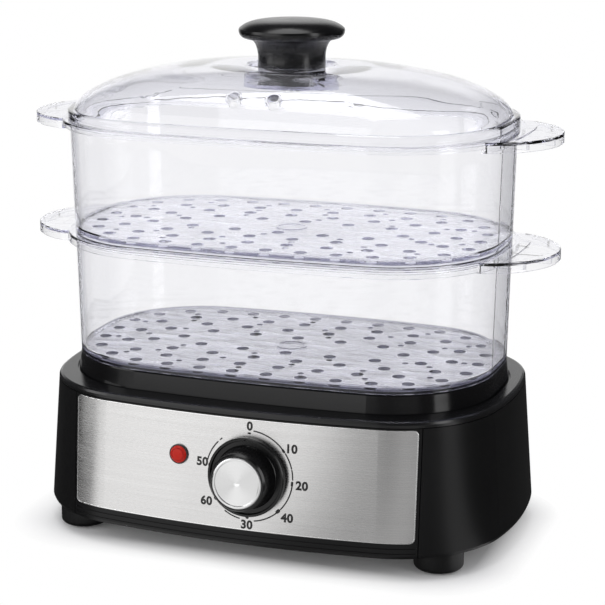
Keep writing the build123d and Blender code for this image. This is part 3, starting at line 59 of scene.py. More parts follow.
class Graph:
    """A node tree with its output node, and short ways to add nodes to it."""

    def __init__(self, tree, output):
        self.tree = tree
        tree.nodes.clear()
        self.out = self.add(output)

    def add(self, kind, sockets=None, **settings):
        made = self.tree.nodes.new(kind)
        for name, value in settings.items():
            setattr(made, name, value)
        for name, value in (sockets or {}).items():
            self.feed(made.inputs[name], value)
        return made

    def feed(self, socket, value):
        if isinstance(value, bpy.types.NodeSocket):
            self.tree.links.new(value, socket)
        else:
            socket.default_value = value

    def show(self, shader, kind="Surface"):
        self.tree.links.new(shader, self.out.inputs[kind])

    # numbers and vectors
    def calc(self, operation, a, b=0.0, clamp=False):
        made = self.add("ShaderNodeMath", {0: a, 1: b}, operation=operation, use_clamp=clamp)
        return made.outputs[0]

    def vector(self, operation, a, b=(0, 0, 0), scale=None):
        made = self.add("ShaderNodeVectorMath", {0: a, 1: b}, operation=operation)
        if scale is not None:
            self.feed(made.inputs["Scale"], scale)
        return made.outputs["Value"] if operation in ("LENGTH", "DOT_PRODUCT") else made.outputs[0]

    def remap(self, value, low, high, to_low=0.0, to_high=1.0, kind="LINEAR"):
        ends = {"From Min": low, "From Max": high, "To Min": to_low, "To Max": to_high}
        made = self.add("ShaderNodeMapRange", {"Value": value, **ends}, interpolation_type=kind)
        return made.outputs["Result"]

    def ramp(self, value, low, high, stops):
        """Grey curve through (value, level) stops, straight between them."""
        made = self.add("ShaderNodeValToRGB", {0: self.remap(value, low, high)})
        points = made.color_ramp.elements
        while len(points) < len(stops):
            points.new(0.5)
        for k, (at, level) in enumerate(stops):
            points[k].position = (at - low) / (high - low)
            points[k].color = rgb(level, level, level)
        return made.outputs["Color"]

    def split(self, vector):
        return tuple(self.add("ShaderNodeSeparateXYZ", {0: vector}).outputs)

    def join(self, x=0.0, y=0.0, z=0.0):
        return self.add("ShaderNodeCombineXYZ", {0: x, 1: y, 2: z}).outputs[0]

    def from_axis(self, at, centre, axis):
        """Arm that reaches a place square from an axis, and the arm's length."""
        arm = self.vector("SUBTRACT", at, centre)
        along = self.vector("DOT_PRODUCT", arm, axis)
        flat = self.vector("SUBTRACT", arm, self.vector("SCALE", axis, scale=along))
        return flat, self.vector("LENGTH", flat)

    # mixes: colours, vectors and shaders
    def mix(self, kind, first, result, share, a, b):
        made = self.add("ShaderNodeMix", data_type=kind)
        self.feed(made.inputs["Factor"], share)
        self.feed(made.inputs[first], a)
        self.feed(made.inputs[first + 1], b)
        return made.outputs[result]

    def blend(self, share, a, b):
        return self.mix("RGBA", 6, 2, share, a, b)

    def blend_vectors(self, share, a, b):
        return self.mix("VECTOR", 4, 1, share, a, b)

    def either(self, share, a, b):
        return self.add("ShaderNodeMixShader", {0: share, 1: a, 2: b}).outputs[0]

    # places, patterns and relief
    def place(self):
        return self.add("ShaderNodeTexCoord").outputs["Object"]

    def stretched(self, coord, scale):
        return self.vector("MULTIPLY", coord, scale)

    def noise(self, coord, scale, detail=2.0, rough=0.5, warp=0.0):
        sockets = {"Vector": coord, "Scale": scale, "Detail": detail, "Roughness": rough}
        return self.add("ShaderNodeTexNoise", {**sockets, "Distortion": warp}).outputs["Fac"]

    def cells(self, coord, scale):
        sockets = {"Vector": coord, "Scale": scale}
        return self.add("ShaderNodeTexVoronoi", sockets, feature="SMOOTH_F1").outputs["Distance"]

    def bump(self, height, depth):
        sockets = {"Height": height, "Distance": depth, "Strength": 1.0}
        return self.add("ShaderNodeBump", sockets).outputs["Normal"]

    # shaders
    def principled(self, **sockets):
        """Principled shader from socket names with _ for spaces."""
        named = {key.replace("_", " "): value for key, value in sockets.items()}
        return self.add("ShaderNodeBsdfPrincipled", named).outputs[0]

    def emission(self, strength):
        return self.add("ShaderNodeEmission", {"Color": WHITE, "Strength": strength}).outputs[0]

    def background(self, colour, strength=1.0):
        sockets = {"Color": colour, "Strength": strength}
        return self.add("ShaderNodeBackground", sockets).outputs[0]


def material(name):
    mat = bpy.data.materials.new(name)
    mat.use_nodes = True
    g = Graph(mat.node_tree, "ShaderNodeOutputMaterial")
    g.mat = mat
    return g


def finish(g, **sockets):
    g.show(g.principled(**sockets))
    return g.mat


# ---------------------------------------------------------------- the housing's front face
DECK_Z, TOE_Z, FLARE = 84.1, 14.0, 5.4          # the face leans out by FLARE from deck to toe
HALF_DEPTH, BOW_R = 84.7, 564.0                 # middle of the face, and radius of its bow
CORNER_X, CORNER_Y, CORNER_R = 68.268, 23.083, 57.0    # arcs at the corners of the plan
JOIN_TURN = 0.13465                 # sine of the turn at which the bow meets a corner arc
FACE_TILT = 4.405                   # degrees that the face leans back
PROUD = 0.3                         # the fascia stands this far out of the housing
TIMER = (8.0, 50.0)                 # (x, z) on the face
TIMER_PIVOT = (0.008, -0.0796083, 0.050)        # the hinge's own point, in metres
TIMER_AXIS = (0.014069, -0.996947, 0.076805)    # outwards
LAMP = (-31.5, 57.1)
LAMP_AXIS = (-0.0555, -0.9955, 0.0768)
HEATER_CENTRE = (0.0, (14.0 + SHIFT_Y) * MM, 0.0468)


def face_y(x, z, proud):
    """Y, in mm of part.py, of the housing's front face at (x, z), moved out by proud."""
    grow = FLARE * (DECK_Z - z) / (DECK_Z - TOE_Z) + proud
    bow = BOW_R + grow
    if abs(x) > bow * JOIN_TURN:
        return -CORNER_Y - math.sqrt((CORNER_R + grow) ** 2 - (abs(x) - CORNER_X) ** 2)
    return -(HALF_DEPTH + grow) + bow - math.sqrt(bow * bow - x * x)


def on_face(x, z, proud=PROUD):
    """Point of that face in Blender's metres."""
    return Vector((x, face_y(x, z, proud) + SHIFT_Y, z)) * MM


# ---------------------------------------------------------------- materials
def moulded(name, colour, rough, spread=0.18, grain=900.0, depth=8e-6, specular=0.5, coat=0.0):
    """Moulded plastic or rubber: fine grain, faint flow clouds, some polish from wear."""
    g = material(name)
    at = g.place()
    clouds = g.noise(at, 38.0, 3.0, 0.55)
    fine = g.noise(at, grain, 2.0, 0.6)
    pale, deep = scaled(colour, 1 + spread), scaled(colour, 1 - spread)
    wear = g.remap(clouds, 0.3, 0.7, rough - 0.04, rough + 0.04)
    return finish(
        g,
        Base_Color=g.blend(g.remap(clouds, 0.3, 0.7), deep, pale),
        Roughness=g.calc("ADD", wear, g.remap(fine, 0.3, 0.7, -0.02, 0.02)),
        Specular_IOR_Level=specular,
        Coat_Weight=coat,
        Coat_Roughness=0.08,
        Normal=g.bump(fine, depth),
    )


def metal(name, colour, rough, brush=(1.0, 1.0, 1.0), grain=1200.0, dull=None):
    """Metal with brushing stretched along an axis, or a fine even grain, and dull patches."""
    g = material(name)
    at = g.place()
    lines = g.noise(g.stretched(at, brush), grain, 3.0, 0.6)
    patches = g.noise(at, 60.0, 3.0, 0.6)
    tone = g.blend(lines, scaled(colour, 0.92), scaled(colour, 1.08))
    if dull:
        tone = g.blend(g.remap(patches, 0.45, 0.75, 0.0, 0.6), tone, dull)
    gloss = g.remap(lines, 0.2, 0.8, rough - 0.05, rough + 0.05)
    return finish(
        g,
        Base_Color=tone,
        Metallic=1.0,
        Roughness=g.calc("ADD", gloss, g.remap(patches, 0.3, 0.7, -0.03, 0.03)),
        Normal=g.bump(lines, 4e-6),
    )


def black_satin(name, rough, specular):
    """Black housing: hardly any grain, and a gloss that clouds a little."""
    g = material(name)
    at = g.place()
    clouds = g.noise(at, 26.0, 3.0, 0.55)
    fine = g.noise(at, 1500.0, 2.0, 0.6)
    gloss = g.remap(clouds, 0.3, 0.7, rough - 0.015, rough + 0.015)
    return finish(
        g,
        Base_Color=g.blend(clouds, rgb(0.0038, 0.0038, 0.0040), rgb(0.0060, 0.0060, 0.0063)),
        Roughness=g.calc("ADD", gloss, g.remap(fine, 0.3, 0.7, -0.01, 0.01)),
        Specular_IOR_Level=specular,
        Normal=g.bump(fine, 2.5e-6),
    )


def tray_gloss():
    """Drip tray: the glossiest of the black mouldings."""
    g = material("tray_gloss")
    at = g.place()
    flow = g.noise(at, 20.0, 2.0, 0.5)
    fine = g.noise(at, 1100.0, 1.0, 0.5)
    return finish(
        g,
        Base_Color=g.blend(flow, rgb(0.004, 0.004, 0.0044), rgb(0.006, 0.006, 0.0064)),
        Roughness=g.remap(flow, 0.3, 0.7, 0.09, 0.13),
        Specular_IOR_Level=0.25,
        Normal=g.bump(fine, 1.2e-6),
    )


def fascia_steel():
    """Stainless sheet brushed along X, with long soft bands across its height."""
    g = material("fascia_steel")
    at = g.place()
    hair = g.noise(g.stretched(at, (14.0, 14.0, 2600.0)), 1.0, 3.0, 0.65)
    bands = g.noise(g.stretched(at, (6.0, 6.0, 420.0)), 1.0, 2.0, 0.5)
    marks = g.calc("ADD", g.calc("MULTIPLY", hair, 0.6), g.calc("MULTIPLY", bands, 0.4))
    return finish(
        g,
        Base_Color=g.blend(marks, rgb(0.60, 0.59, 0.585), rgb(0.80, 0.795, 0.79)),
        Metallic=1.0,
        Roughness=g.remap(hair, 0.2, 0.8, 0.22, 0.32),
        Anisotropic=0.7,
        Tangent=g.join(z=1.0),               # highlights spread across the brushing
        Normal=g.bump(hair, 4e-6),
    )


def polished_edge():
    """The fascia's bright chamfer."""
    g = material("fascia_edge")
    hair = g.noise(g.stretched(g.place(), (30.0, 30.0, 900.0)), 1.0, 2.0, 0.6)
    return finish(
        g,
        Base_Color=g.blend(hair, rgb(0.84, 0.84, 0.84), rgb(0.95, 0.95, 0.95)),
        Metallic=1.0,
        Roughness=g.remap(hair, 0.2, 0.8, 0.16, 0.24),
        Normal=g.bump(hair, 1e-6),
    )


def spun_metal(name, centre, axis, dark, pale, rough, rings_per_metre):
    """Metal turned about an axis: concentric marks, and highlights that spread across them."""
    g = material(name)
    flat, radius = g.from_axis(g.place(), centre, axis)
    rings = g.noise(g.join(x=g.calc("MULTIPLY", radius, rings_per_metre)), 1.0, 3.0, 0.7)
    return finish(
        g,
        Base_Color=g.blend(rings, dark, pale),
        Metallic=1.0,
        Roughness=g.remap(rings, 0.2, 0.8, rough - 0.04, rough + 0.05),
        Anisotropic=0.85,
        Tangent=g.vector("NORMALIZE", flat),
        Normal=g.bump(rings, 1.5e-6),
    )


# A basket's floor: Z of its top in mm, its tone, and the painted shade tinted into the walls of its
# holes.
LOWER_FLOOR = (97.0, rgb(0.84, 0.84, 0.875), rgb(0.22, 0.22, 0.27))
UPPER_FLOOR = (164.0, rgb(0.88, 0.88, 0.905), rgb(0.66, 0.66, 0.73))
FLOOR_ABOVE, FLOOR_BELOW = (0.1, 0.5), (-2.3, -2.1)    # mm from its top where a floor fades
WALL_X = 118.0                      # mm from the middle to where the walls end and grips begin
HOLE_RIM_HIGHLIGHT = 0.9                    # mm over which the rim of a hole is painted pale, a painted highlight


def basket_sockets(g, at, flow, pale, basket_floor):
    """Sockets of a basket: waves in its walls, and a frosted, streaky floor with holes, whose walls
    are tinted dark as painted shade and whose rims are painted pale as a painted highlight.
    """
    floor_z, floor_tone, hole_shade_tone = basket_floor
    x, _, z = g.split(at)
    in_walls = g.remap(g.calc("ABSOLUTE", x), (WALL_X - 1) * MM, (WALL_X + 1) * MM, 1.0, 0.0)
    above = g.remap(z, (floor_z + FLOOR_ABOVE[0]) * MM, (floor_z + FLOOR_ABOVE[1]) * MM, 1.0, 0.0)
    below = g.remap(z, (floor_z + FLOOR_BELOW[0]) * MM, (floor_z + FLOOR_BELOW[1]) * MM)
    in_floor = g.calc("MULTIPLY", above, below, clamp=True)

    facing = g.add("ShaderNodeNewGeometry").outputs["Normal"]
    level = g.remap(g.calc("ABSOLUTE", g.split(facing)[2]), 0.3, 0.8)    # 0 on a hole's wall
    on_level = g.calc("MULTIPLY", in_floor, level)
    # painted highlight: a pale, less clear rim is painted around each hole, where the bevelled
    # normal turns away
    softened = g.add("ShaderNodeBevel", {"Radius": HOLE_RIM_HIGHLIGHT * MM}, samples=6).outputs[0]
    edge = g.remap(g.vector("DOT_PRODUCT", softened, facing), 0.90, 0.995, 1.0, 0.0)
    rim = g.calc("MULTIPLY", g.calc("MULTIPLY", edge, in_floor), level)
    hole = g.calc("MULTIPLY", g.calc("SUBTRACT", 1.0, level), in_floor)

    ripple = g.noise(g.stretched(at, (42.0, 170.0, 40.0)), 1.0, 3.0, 0.6, warp=0.6)
    streak = g.remap(ripple, 0.38, 0.62)
    frost = g.calc("MULTIPLY", g.remap(streak, 0.0, 1.0, 0.12, 0.50), level)
    frost = g.calc("MULTIPLY", frost, in_floor)
    # the frost is the floor's own; the rim share is painted highlight
    frost_and_rim_highlight = g.calc("MAXIMUM", frost, g.calc("MULTIPLY", rim, 0.85))
    tone = g.blend(in_floor, pale, floor_tone)
    # painted shade: the clear walls of the holes are tinted dark, standing in for the shade seen
    # through the holes
    tone = g.blend(hole, tone, hole_shade_tone)
    waves = g.bump(g.calc("MULTIPLY", flow, in_walls), 5e-5)
    return dict(
        Base_Color=g.blend(rim, tone, rgb(0.97, 0.97, 0.98)),
        Transmission_Weight=g.calc("SUBTRACT", 1.0, frost_and_rim_highlight),
        Roughness=g.remap(in_floor, 0.0, 1.0, 0.0, 0.10),
        Normal=g.blend_vectors(on_level, waves, g.bump(ripple, 1.6e-3)),
    )


def clear_plastic(name, ior, coat, basket_floor=None):
    """Clear polycarbonate: lilac-grey where it is deep, and painted lilac-grey shade where it is
    seen edge on.  Lamps shine through it.
    """
    g = material(name)
    at = g.place()
    flow = g.noise(g.stretched(at, (5.0, 5.0, 7.0)), 1.0, 1.0, 0.4)
    pale = g.blend(flow, rgb(0.968, 0.968, 0.972), rgb(0.982, 0.982, 0.984))
    # painted shade: the tone darkens to lilac-grey where the surface is seen edge on, standing in
    # for dark edge reflections
    grazing = g.add("ShaderNodeLayerWeight", {"Blend": 0.5}).outputs["Facing"]
    pale = g.blend(g.remap(grazing, 0.72, 1.0), pale, rgb(0.50, 0.51, 0.63))
    if basket_floor:
        own = basket_sockets(g, at, flow, pale, basket_floor)
    else:
        own = dict(
            Base_Color=pale,
            Transmission_Weight=1.0,
            Roughness=g.remap(flow, 0.3, 0.7, 0.0, 0.004),
        )
    glass = g.principled(
        IOR=ior,
        Specular_IOR_Level=0.5,
        Coat_Weight=coat,
        Coat_Roughness=0.0,
        Coat_IOR=1.5,
        **own,
    )
    film = g.add("ShaderNodeBsdfTransparent", {"Color": rgb(0.94, 0.94, 0.955)}).outputs[0]
    shadow = g.add("ShaderNodeLightPath").outputs["Is Shadow Ray"]
    g.show(g.either(shadow, glass, film))
    tint = {"Color": rgb(0.80, 0.80, 0.88), "Density": 55.0}
    g.show(g.add("ShaderNodeVolumeAbsorption", tint).outputs[0], "Volume")
    return g.mat


LENS_RING_R, LENS_RING_HALF = 3.3, 0.5      # mm: the ring moulded into the lamp's lens


def lamp_red():
    """Translucent red lens: a moulded ring and fine facets show through its crown."""
    g = material("lamp_red")
    at = g.place()
    _, radius = g.from_axis(at, on_face(*LAMP), LAMP_AXIS)
    off_ring = g.calc("ABSOLUTE", g.calc("SUBTRACT", radius, LENS_RING_R * MM))
    ring = g.calc("SUBTRACT", 1.0, g.remap(off_ring, 0.0, LENS_RING_HALF * MM))
    fine = g.noise(at, 420.0, 2.0, 0.5)
    tone = g.blend(ring, rgb(0.47, 0.014, 0.006), rgb(0.24, 0.005, 0.003))
    tone = g.blend(g.remap(fine, 0.3, 0.7, 0.0, 0.35), tone, rgb(0.55, 0.020, 0.009))
    return finish(
        g,
        Base_Color=tone,
        Roughness=g.remap(fine, 0.3, 0.7, 0.30, 0.40),
        Specular_IOR_Level=0.15,
        Transmission_Weight=0.15,
        Emission_Color=rgb(0.6, 0.010, 0.004),
        Emission_Strength=0.06,
        Normal=g.bump(ring, 1.2e-4),
    )


def printed_black():
    """Screen-printed ink: nearly black, with the weave of the screen in its gloss."""
    g = material("dial_ink")
    weave = g.noise(g.place(), 3200.0, 2.0, 0.6)
    return finish(
        g,
        Base_Color=g.blend(weave, rgb(0.004, 0.004, 0.004), rgb(0.010, 0.010, 0.010)),
        Roughness=g.remap(weave, 0.3, 0.7, 0.42, 0.55),
        Normal=g.bump(weave, 1e-6),
    )


def heat_tube():
    """Heating tube: oxidised in blue-brown bands."""
    g = material("heater_tube")
    at = g.place()
    bands = g.remap(g.noise(at, 55.0, 4.0, 0.6), 0.3, 0.7)
    fine = g.noise(at, 1500.0, 2.0, 0.6)
    return finish(
        g,
        Base_Color=g.blend(bands, rgb(0.36, 0.33, 0.31), rgb(0.46, 0.40, 0.33)),
        Metallic=1.0,
        Roughness=g.remap(fine, 0.3, 0.7, 0.4, 0.52),
        Normal=g.bump(fine, 4e-6),
    )


def sleeved(name, colour):
    """Glass-fibre sleeve: a fine braid."""
    g = material(name)
    braid = g.cells(g.place(), 1500.0)
    tone = g.blend(g.remap(braid, 0.0, 0.5), scaled(colour, 1.05), scaled(colour, 0.72))
    return finish(g, Base_Color=tone, Roughness=0.75, Normal=g.bump(braid, -8e-5))


def insulated(name, colour, rough=0.38, spread=0.18):
    return moulded(name, colour, rough, spread=spread, grain=500.0, depth=6e-6)


looks = {
    "black_satin": black_satin("black_satin", 0.30, 0.25),
    "deck_satin": black_satin("deck_satin", 0.22, 0.5),
    "black_matte": moulded("black_matte", (0.0062, 0.0062, 0.0065), 0.42,
                           grain=1300.0, depth=9e-6, specular=0.35),
    "fascia_steel": fascia_steel(),
    "pad_rubber": moulded("pad_rubber", (0.03, 0.03, 0.03), 0.78,
                          grain=600.0, depth=3e-5, specular=0.3),
    "zinc_steel": metal("zinc_steel", (0.66, 0.67, 0.66), 0.34,
                        grain=700.0, dull=rgb(0.50, 0.51, 0.50)),
    "stainless": metal("stainless", (0.74, 0.74, 0.74), 0.2, brush=(1, 1, 4)),
    "heater_steel": spun_metal("heater_steel", HEATER_CENTRE, (0.0, 0.0, 1.0),
                               rgb(0.60, 0.59, 0.57), rgb(0.74, 0.73, 0.71), 0.28, 1500.0),
    "heater_tube": heat_tube(),
    "seal_rubber": moulded("seal_rubber", (0.045, 0.045, 0.046), 0.62,
                           grain=800.0, depth=1.5e-5, specular=0.4),
    "phenolic": moulded("phenolic", (0.14, 0.065, 0.035), 0.42,
                        spread=0.3, grain=500.0, depth=1.2e-5),
    "fuse_tin": metal("fuse_tin", (0.72, 0.71, 0.68), 0.3, dull=rgb(0.52, 0.50, 0.47)),
    "timer_casing": moulded("timer_casing", (0.60, 0.58, 0.52), 0.5,
                            spread=0.06, grain=700.0, depth=1e-5),
    "bell_steel": spun_metal("bell_steel", TIMER_PIVOT, TIMER_AXIS,
                             rgb(0.64, 0.63, 0.60), rgb(0.76, 0.75, 0.73), 0.16, 1200.0),
    "knob_black": moulded("knob_black", (0.0035, 0.0035, 0.0037), 0.24,
                          spread=0.15, grain=1400.0, depth=1.5e-6, specular=0.4),
    "spun_aluminium": spun_metal("spun_aluminium", on_face(*TIMER), TIMER_AXIS,
                                 rgb(0.70, 0.70, 0.70), rgb(0.88, 0.88, 0.88), 0.24, 2400.0),
    "lamp_black": moulded("lamp_black", (0.006, 0.006, 0.006), 0.3, grain=1200.0, depth=3e-6),
    "lamp_red": lamp_red(),
    "neon_glass": moulded("neon_glass", (0.72, 0.60, 0.50), 0.12,
                          spread=0.1, grain=300.0, depth=4e-6, coat=0.6),
    "terminal_white": moulded("terminal_white", (0.72, 0.71, 0.67), 0.45, spread=0.05, grain=800.0),
    "sleeve_brass": metal("sleeve_brass", (0.72, 0.54, 0.25), 0.28,
                          brush=(1, 4, 1), dull=rgb(0.50, 0.36, 0.17)),
    "lead_brown": insulated("lead_brown", (0.16, 0.065, 0.03)),
    "lead_blue": insulated("lead_blue", (0.03, 0.09, 0.36)),
    "lead_green": insulated("lead_green", (0.15, 0.36, 0.05), spread=0.5),
    "lead_glass": sleeved("lead_glass", (0.72, 0.70, 0.64)),
    "lead_grey": insulated("lead_grey", (0.26, 0.26, 0.27), rough=0.4),
    "tray_gloss": tray_gloss(),
    "clear_lid": clear_plastic("clear_lid", 1.12, 1.0),
    "clear_lower": clear_plastic("clear_lower", 1.26, 0.6, LOWER_FLOOR),
    "clear_upper": clear_plastic("clear_upper", 1.26, 0.6, UPPER_FLOOR),
}
own_look = {
    "lower_basket": "clear_lower",
    "upper_basket": "clear_upper",
    "lid": "clear_lid",
    "water_tank": "deck_satin",
}
slot_of = {part["node"]: part["material_slot"] for part in frame["record"]["subparts"]}
for node, piece in frame["nodes"].items():
    piece.data.materials.clear()
    piece.data.materials.append(looks[own_look.get(node, slot_of[node])])


# ---------------------------------------------------------------- bright edge of the fascia
def mesh_piece(name, bm, mat, body, smooth=False):
    mesh = bpy.data.meshes.new(name)
    bm.normal_update()
    bm.to_mesh(mesh)
    bm.free()
    mesh.materials.append(mat)
    for face in mesh.polygons:
        face.use_smooth = smooth
    piece = bpy.data.objects.new(name, mesh)
    scene.collection.objects.link(piece)
    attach(piece, body)


PANEL_X, PANEL_Z0, PANEL_Z1, PANEL_R = 95.85, 20.65, 79.95, 2.6     # half length, ends, corners
CORNER_STEPS = 10
EDGE_STEP = 4.0                     # mm between points along the bow
# How far in and how far out the rolled chamfer lies, from its rim to the sheet's face.
EDGE_PROFILE = [(0.0, -0.15), (0.0, 0.16), (0.10, 0.28), (0.26, 0.335), (0.44, 0.33), (0.52, 0.29),
                (0.58, 0.18)]


def panel_outline(inset):
    """Rounded outline of the fascia, inset, as (x, z) in mm."""
    points = []
    radius = PANEL_R - inset
    mid_z, half_z = (PANEL_Z0 + PANEL_Z1) / 2, (PANEL_Z1 - PANEL_Z0) / 2
    for sx, sz, start in ((1, 1, 0), (-1, 1, 90), (-1, -1, 180), (1, -1, 270)):
        cx = sx * (PANEL_X - inset - radius)
        cz = mid_z + sz * (half_z - inset - radius)
        for k in range(CORNER_STEPS + 1):
            a = math.radians(start + 90 * k / CORNER_STEPS)
            points.append((cx + radius * math.cos(a), cz + radius * math.sin(a)))
    return points


def runs(points):
    """The closed outline's runs, each as its two ends."""
    return zip(points, points[1:] + points[:1])


def fascia_edge():
    """The sheet's bright chamfered edge, rolled over at its rim."""
    steps = [max(1, int(math.dist(p, q) / EDGE_STEP)) for p, q in runs(panel_outline(0.0))]
    bm = bmesh.new()
    rings = []
    for inset, proud in EDGE_PROFILE:
        line = []
        for ((x0, z0), (x1, z1)), count in zip(runs(panel_outline(inset)), steps):
            line += [(x0 + (x1 - x0) * k / count, z0 + (z1 - z0) * k / count) for k in range(count)]
        rings.append([bm.verts.new(on_face(x, z, proud)) for x, z in line])
    for a, b in zip(rings, rings[1:]):
        for i in range(len(a)):
            j = (i + 1) % len(a)
            bm.faces.new((a[i], a[j], b[j], b[i]))
    bmesh.ops.recalc_face_normals(bm, faces=bm.faces)
    mesh_piece("fascia_edge", bm, polished_edge(), "base", smooth=True)


# ---------------------------------------------------------------- print on the fascia
INK = 0.03                          # mm that the print stands out of the steel
INK_SINK = 0.02                     # mm that it reaches into it
RAY_START_Y = -0.2                  # metres: in front of the whole part
FACE_MISS = 0.5                     # mm: a hit further off than this isn't the fascia
NUMBER_SIZE, NUMBER_BOLD, NUMBER_SPACING = 6.3, 0.27, 1.06
# Middle of each number, in mm right of and above the timer's middle.
NUMBERS = {
    "0": (0.2, 26.4), "10": (23.6, 16.5), "20": (29.2, -2.5), "40": (21.6, -20.3),
    "30": (-0.3, -26.2), "60": (-23.3, -15.9), "50": (-26.0, 4.8),
}
ARC_R, ARC_W = 24.2, 0.72
LEFT_FROM, LEFT_IN = 190, 0.4       # arcs from this angle on lie this much closer in
# Clockwise angles from the top at which each arc starts and ends.
ARCS = ((6, 50), (55.5, 75.5), (77.5, 89.5), (98, 131.8), (139.6, 171), (191, 212), (285, 313.4),
        (317.6, 320.5))
# Angle, middle radius, length and width of each tick.
TICKS = (
    (0.0, 22.65, 1.0, 0.9), (51.5, 24.1, 1.3, 1.2), (94.8, 24.0, 1.3, 1.5), (136.1, 24.0, 1.9, 1.1),
    (180.5, 22.5, 1.3, 0.6), (232.1, 23.1, 1.3, 0.9), (278.9, 21.9, 1.9, 0.8),
)
ARC_STEP, TICK_STEP = 2.0, 1.0      # degrees

panel_mesh = frame["nodes"]["front_panel"].data
panel_tree = BVHTree.FromPolygons(
    [v.co for v in panel_mesh.vertices],
    [list(p.vertices) for p in panel_mesh.polygons],
)
ink = printed_black()


def inked(x, z):
    """Point just in front of the fascia's mesh at (x, z)."""
    hit = panel_tree.ray_cast(Vector((x * MM, RAY_START_Y, z * MM)), Vector((0, 1, 0)))[0]
    y = on_face(x, z).y
    if hit is not None and abs(hit.y - y) < FACE_MISS * MM:
        y = hit.y
    return Vector((x * MM, y - INK * MM, z * MM))


def lay_on_face(flat, centre, name):
    """Lays a flat mesh, drawn about (0, 0) in mm, on the fascia and gives it the ink's depth."""
    upright = math.cos(math.radians(FACE_TILT))
    bm = bmesh.new()
    bm.from_mesh(flat)
    bmesh.ops.triangulate(bm, faces=bm.faces)
    for v in bm.verts:
        v.co = inked(centre[0] + v.co.x, centre[1] + v.co.y * upright)
    back = bmesh.ops.extrude_face_region(bm, geom=bm.faces[:])["geom"]
    for v in back:
        if isinstance(v, bmesh.types.BMVert):
            v.co.y += (INK + INK_SINK) * MM
    bmesh.ops.recalc_face_normals(bm, faces=bm.faces)
    mesh_piece(name, bm, ink, "base")


def flat_number(word):
    """A number as a flat mesh in mm, with its middle at (0, 0)."""
    curve = bpy.data.curves.new("number", "FONT")
    curve.body = word
    curve.size = NUMBER_SIZE
    curve.offset = NUMBER_BOLD
    curve.space_character = NUMBER_SPACING
    curve.resolution_u = 6
    curve.align_x, curve.align_y = "CENTER", "CENTER"
    holder = bpy.data.objects.new("number", curve)
    scene.collection.objects.link(holder)
    bpy.context.view_layer.update()
    evaluated = holder.evaluated_get(bpy.context.evaluated_depsgraph_get())
    flat = bpy.data.meshes.new_from_object(evaluated)
    bpy.data.objects.remove(holder)
    xs = [v.co.x for v in flat.vertices]
    ys = [v.co.y for v in flat.vertices]
    middle = Vector(((min(xs) + max(xs)) / 2, (min(ys) + max(ys)) / 2, 0))
    flat.transform(Matrix.Translation(-middle))
    return flat


def ring_part(r0, r1, a0, a1, step):
    """Flat piece of a ring between two radii and two clockwise angles, with round ends."""
    bm = bmesh.new()
    count = max(2, int(abs(a1 - a0) / step))
    mid, half = (r0 + r1) / 2, (r1 - r0) / 2
    inner, outer = [], []
    for k in range(count + 1):
        a = math.radians(a0 + (a1 - a0) * k / count)
        inner.append(bm.verts.new((r0 * math.sin(a), r0 * math.cos(a), 0)))
        outer.append(bm.verts.new((r1 * math.sin(a), r1 * math.cos(a), 0)))
    for k in range(count):
        bm.faces.new((inner[k], inner[k + 1], outer[k + 1], outer[k]))
    for end, first, last, sign in ((a0, outer[0], inner[0], -1), (a1, inner[-1], outer[-1], 1)):
        a = math.radians(end)
        cap = []
        for k in range(1, 4):
            t = math.pi * k / 4
            along = math.sin(t) * half * sign
            out = mid - math.cos(t) * half * sign
            x = out * math.sin(a) + along * math.cos(a)
            y = out * math.cos(a) - along * math.sin(a)
            cap.append(bm.verts.new((x, y, 0)))
        bm.faces.new((first, *cap, last))
    flat = bpy.data.meshes.new("ring_part")
    bm.to_mesh(flat)
    bm.free()
    return flat


fascia_edge()
for word, (dx, dz) in NUMBERS.items():
    lay_on_face(flat_number(word), (TIMER[0] + dx, TIMER[1] + dz), "dial_number_" + word)
for k, (a0, a1) in enumerate(ARCS):
    r = ARC_R if a0 < LEFT_FROM else ARC_R - LEFT_IN
    arc = ring_part(r - ARC_W / 2, r + ARC_W / 2, a0, a1, ARC_STEP)
    lay_on_face(arc, TIMER, f"dial_arc_{k + 1}")
for k, (angle, r, length, width) in enumerate(TICKS):
    half = math.degrees(width / 2 / r)
    tick = ring_part(r - length / 2, r + length / 2, angle - half, angle + half, TICK_STEP)
    lay_on_face(tick, TIMER, f"dial_tick_{k + 1}")


# ---------------------------------------------------------------- floor
FLOOR_HALF = 8.0
SHADOW_CORE = (0.095, 0.040, 0.0)   # metres from the middle in which the floor keeps its shadow
SHADOW_FADE = (0.024, 0.050)        # metres around it over which the floor turns plain white
NEAR_GLOW = DIM_GLOW = 0.04
# Mirrored in the part, the white floor shows only where sheets of white would lie: behind it and
# to its front left and right.  These are (degrees around it from the front, share of white).
FLOOR_SHEETS = (
    (-180, 1.0), (-138, 1.0), (-128, 0.0), (-54, 0.0), (-47, 1.0), (-27, 1.0), (-24, 0.92),
    (-4, 0.9), (9, 0.36), (20, 0.34), (30, 0.5), (44, 0.5), (50, 0.1), (63, 0.1), (66, 1.0),
    (78, 1.0), (82, 0.0), (170, 0.0), (180, 1.0),
)


